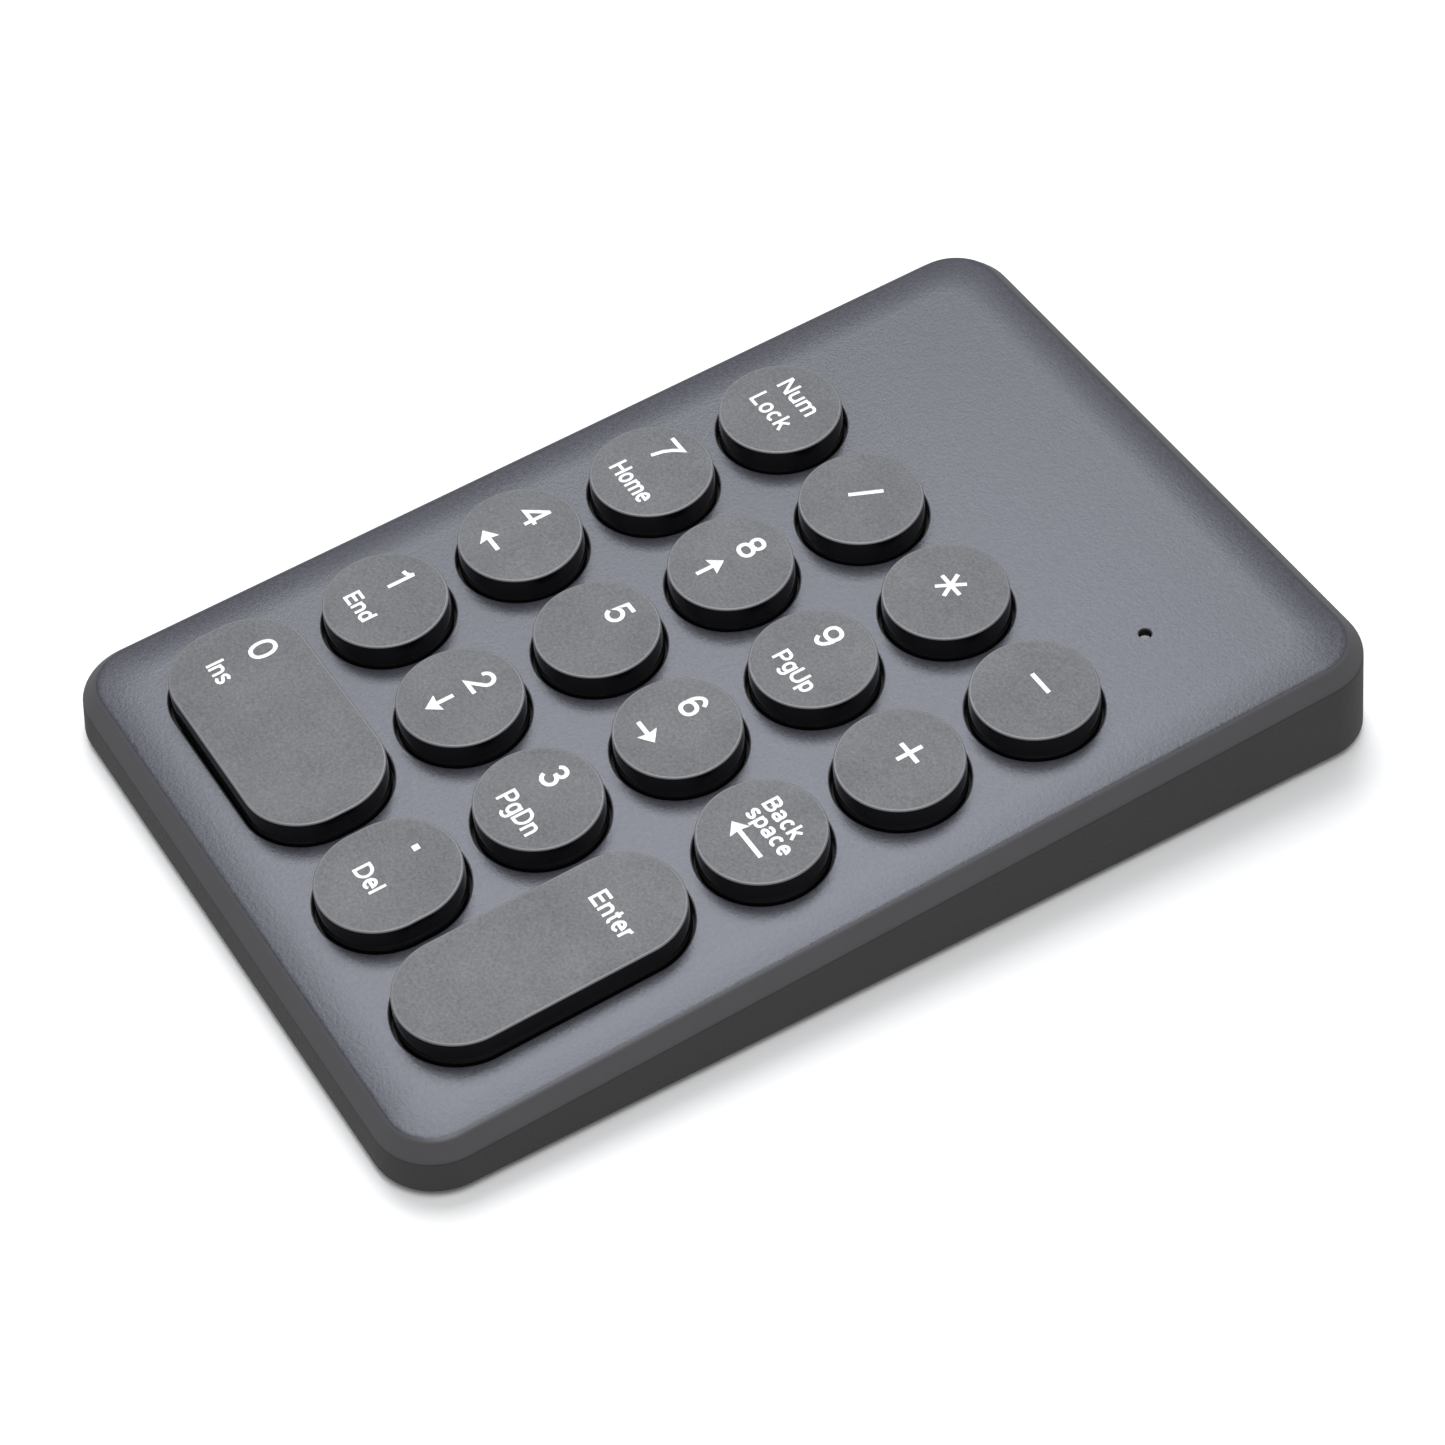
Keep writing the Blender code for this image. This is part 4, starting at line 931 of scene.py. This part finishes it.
def make_domes():
    """A dome under each key, and the sheet between them."""
    low, high = SHEET_BOTTOM, SHEET_TOP
    outline = rounded_outline(-SHEET_X, SHEET_X, SHEET_FRONT, SHEET_REAR, SHEET_CORNER, 8)
    sheet = prism("sheet", outline, low, high)
    hole = [(0, 0), (SHEET_HOLE_RADIUS, 0), (SHEET_HOLE_RADIUS, -6), (0, -6)]
    holes = joined("dome_holes", [placed(turned("hole", hole, 32), x, y) for x, y, _, _ in KEYS.values()])
    mesh = carve(sheet, [holes])
    mesh.transform(DECK)
    smooth(mesh)
    ridden(add("silicone_sheet", mesh, SILICONE), "case", "silicone", "dome_sheet")
    crown = high + DOME_HEIGHT
    profile = [(0, crown), (DOME_TOP_RADIUS, crown)]
    profile += bend((1.6, crown), (1.75, crown), (1.85, crown - 0.2), 2)
    profile += bend((2.6, high + 0.7), (2.95, high + 0.15), (DOME_FOOT_RADIUS, high), 4)
    profile += [(DOME_FOOT_RADIUS, low), (DOME_INNER_FOOT, low), (DOME_INNER_FOOT, high + 0.05)]
    profile += [(DOME_INNER_TOP, crown - DOME_ROOF), (0, crown - DOME_ROOF)]
    for name, (x, y, _, _) in KEYS.items():
        mesh = placed(turned("dome", profile, 32), x, y)
        mesh.transform(DECK)
        smooth(mesh)
        dome = add(name.replace("key", "dome"), mesh, SILICONE)
        ridden(dome, "case", "silicone", "dome_sheet")
        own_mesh(dome)


# ---- underside ----
# a rubber foot's rounded edge: inset and height above the floor
FOOT_EDGE = [(0.0, 0.3), (0.09, 0.09), (0.3, 0.0)]
SCREW_HEAD_RADIUS, SCREW_HEAD_DEPTH, SCREW_HEAD_SIDE = 1.75, 0.7, 0.35
SCREW_SHAFT_RADIUS, SCREW_TIP_RADIUS, SCREW_TIP_LENGTH = 0.75, 0.4, 0.6
RECESS_REACH, RECESS_HALF_WIDTH, RECESS_DEPTH = 1.0, 0.2, 0.4


def make_feet():
    for name in ("foot_front_left", "foot_front_right", "foot_rear_left", "foot_rear_right"):
        low, high = (corner * 1000 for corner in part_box(name))
        radius = (high.y - low.y) / 2
        sections = []
        for inset, height in [(0.0, high.z), *FOOT_EDGE]:
            outline = rounded_outline(
                low.x + inset, high.x - inset, low.y + inset, high.y - inset, radius - inset - 0.01, 10
            )
            sections.append(level(outline, height))
        mesh = loft(name, sections)
        smooth(mesh, 50)
        ridden(add(f"{name}_pad", mesh, RUBBER), "case", "rubber", name)


def make_screws():
    for row in ("front", "middle", "rear"):
        for side in ("left", "right"):
            name = f"case_screw_{row}_{side}"
            low, high = (corner * 1000 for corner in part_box(name))
            x, y = (low.x + high.x) / 2, (low.y + high.y) / 2
            head, side_foot = low.z + SCREW_HEAD_DEPTH, low.z + SCREW_HEAD_SIDE
            profile = [(0, high.z), (SCREW_TIP_RADIUS, high.z)]
            profile += [(SCREW_SHAFT_RADIUS, high.z - SCREW_TIP_LENGTH), (SCREW_SHAFT_RADIUS, head)]
            profile += [(SCREW_HEAD_RADIUS, head), (SCREW_HEAD_RADIUS, side_foot)]
            profile += bend((SCREW_HEAD_RADIUS, side_foot), (1.7, low.z), (1.1, low.z), 4)
            profile.append((0, low.z))
            screw = turned(name, profile, 32)
            reach, half = RECESS_REACH, RECESS_HALF_WIDTH
            deep = low.z + RECESS_DEPTH
            arms = [
                box(-reach, reach, -half, half, low.z - 0.5, deep),
                box(-half, half, -reach, reach, low.z - 0.5, deep),
            ]
            mesh = placed(carve(screw, arms), x, y)
            mesh.name = name
            smooth(mesh)
            ridden(add(f"{name}_fine", mesh, NICKEL), "case", "steel", name)


def paint_the_rest():
    paint(["bottom_cover", "key_guide_frame", "battery_door", "receiver_head", "controller_chip"], BLACK)
    paint(["tail_clamp_bar"], BLACK)
    paint(["power_switch_knob"], RUBBER)
    paint(["membrane_top_film", "membrane_spacer_film", "membrane_bottom_film", "status_led"], FILM)
    paint(["support_plate", "crystal_can", "power_switch_body", "receiver_plug", "battery_spring"], STEEL)
    paint(["battery_contact", "stabiliser_wire_0", "stabiliser_wire_enter"], STEEL)
    paint(["board_screw_left", "board_screw_right"], NICKEL)
    paint(["circuit_board"], BOARD)
    paint(["light_pipe"], SMOKE)
    paint(["battery"], JACKET)


# ---- floor, lights and camera ----
def make_floor():
    mesh = bpy.data.meshes.new("floor")
    shape = bmesh.new()
    bmesh.ops.create_grid(shape, x_segments=1, y_segments=1, size=3.0)
    shape.to_mesh(mesh)
    shape.free()
    made = Nodes("floor_white")
    made.use("Base Color", made.ramp(made.noise(6), (0.9, 0.9, 0.9), (0.93, 0.93, 0.93)))
    made.set(**{"Roughness": 0.9, "Specular IOR Level": 0.1})
    floor = add("floor", mesh, made.material)
    floor.visible_glossy = False


def add_light(name, place, size, power):
    """A square softbox that faces the object."""
    light = bpy.data.lights.new(name, "AREA")
    light.shape = "SQUARE"
    light.size = size
    light.energy = power
    light.color = (0.975, 0.985, 1.0)
    obj = bpy.data.objects.new(name, light)
    bpy.context.scene.collection.objects.link(obj)
    obj.location = place
    obj.rotation_euler = (-Vector(place)).to_track_quat("-Z", "Y").to_euler()


def make_lights():
    add_light("softbox_left", (-0.44, 0.15, 0.87), 0.62, 7.7)
    add_light("softbox_above", (0.25, -0.1, 1.0), 0.6, 4.5)
    world = bpy.data.worlds.new("studio")
    world.use_nodes = True
    world.node_tree.nodes["Background"].inputs["Color"].default_value = (1, 1, 1, 1)
    world.node_tree.nodes["Background"].inputs["Strength"].default_value = 0.42
    bpy.context.scene.world = world
    bpy.context.scene.view_settings.view_transform = "Standard"


def make_camera():
    data = bpy.data.cameras.new("camera")
    data.lens = CAMERA_LENS
    data.sensor_width = SENSOR
    data.clip_start = 0.01
    data.clip_end = 10.0
    camera = bpy.data.objects.new("camera", data)
    bpy.context.scene.collection.objects.link(camera)
    forward = Vector(CAMERA_FORWARD).normalized()
    right = forward.cross(Vector((0, 0, 1))).normalized()
    up = right.cross(forward)
    turned_right = math.cos(CAMERA_ROLL) * right + math.sin(CAMERA_ROLL) * up
    turned_up = math.cos(CAMERA_ROLL) * up - math.sin(CAMERA_ROLL) * right
    axes = Matrix((turned_right, turned_up, -forward)).transposed().to_4x4()
    camera.matrix_world = DECK @ Matrix.Translation(mm(*CAMERA_AT)) @ axes
    bpy.context.scene.camera = camera


make_camera()
make_floor()
make_lights()
make_case_top()
make_keys()
make_domes()
make_feet()
make_screws()
paint_the_rest()
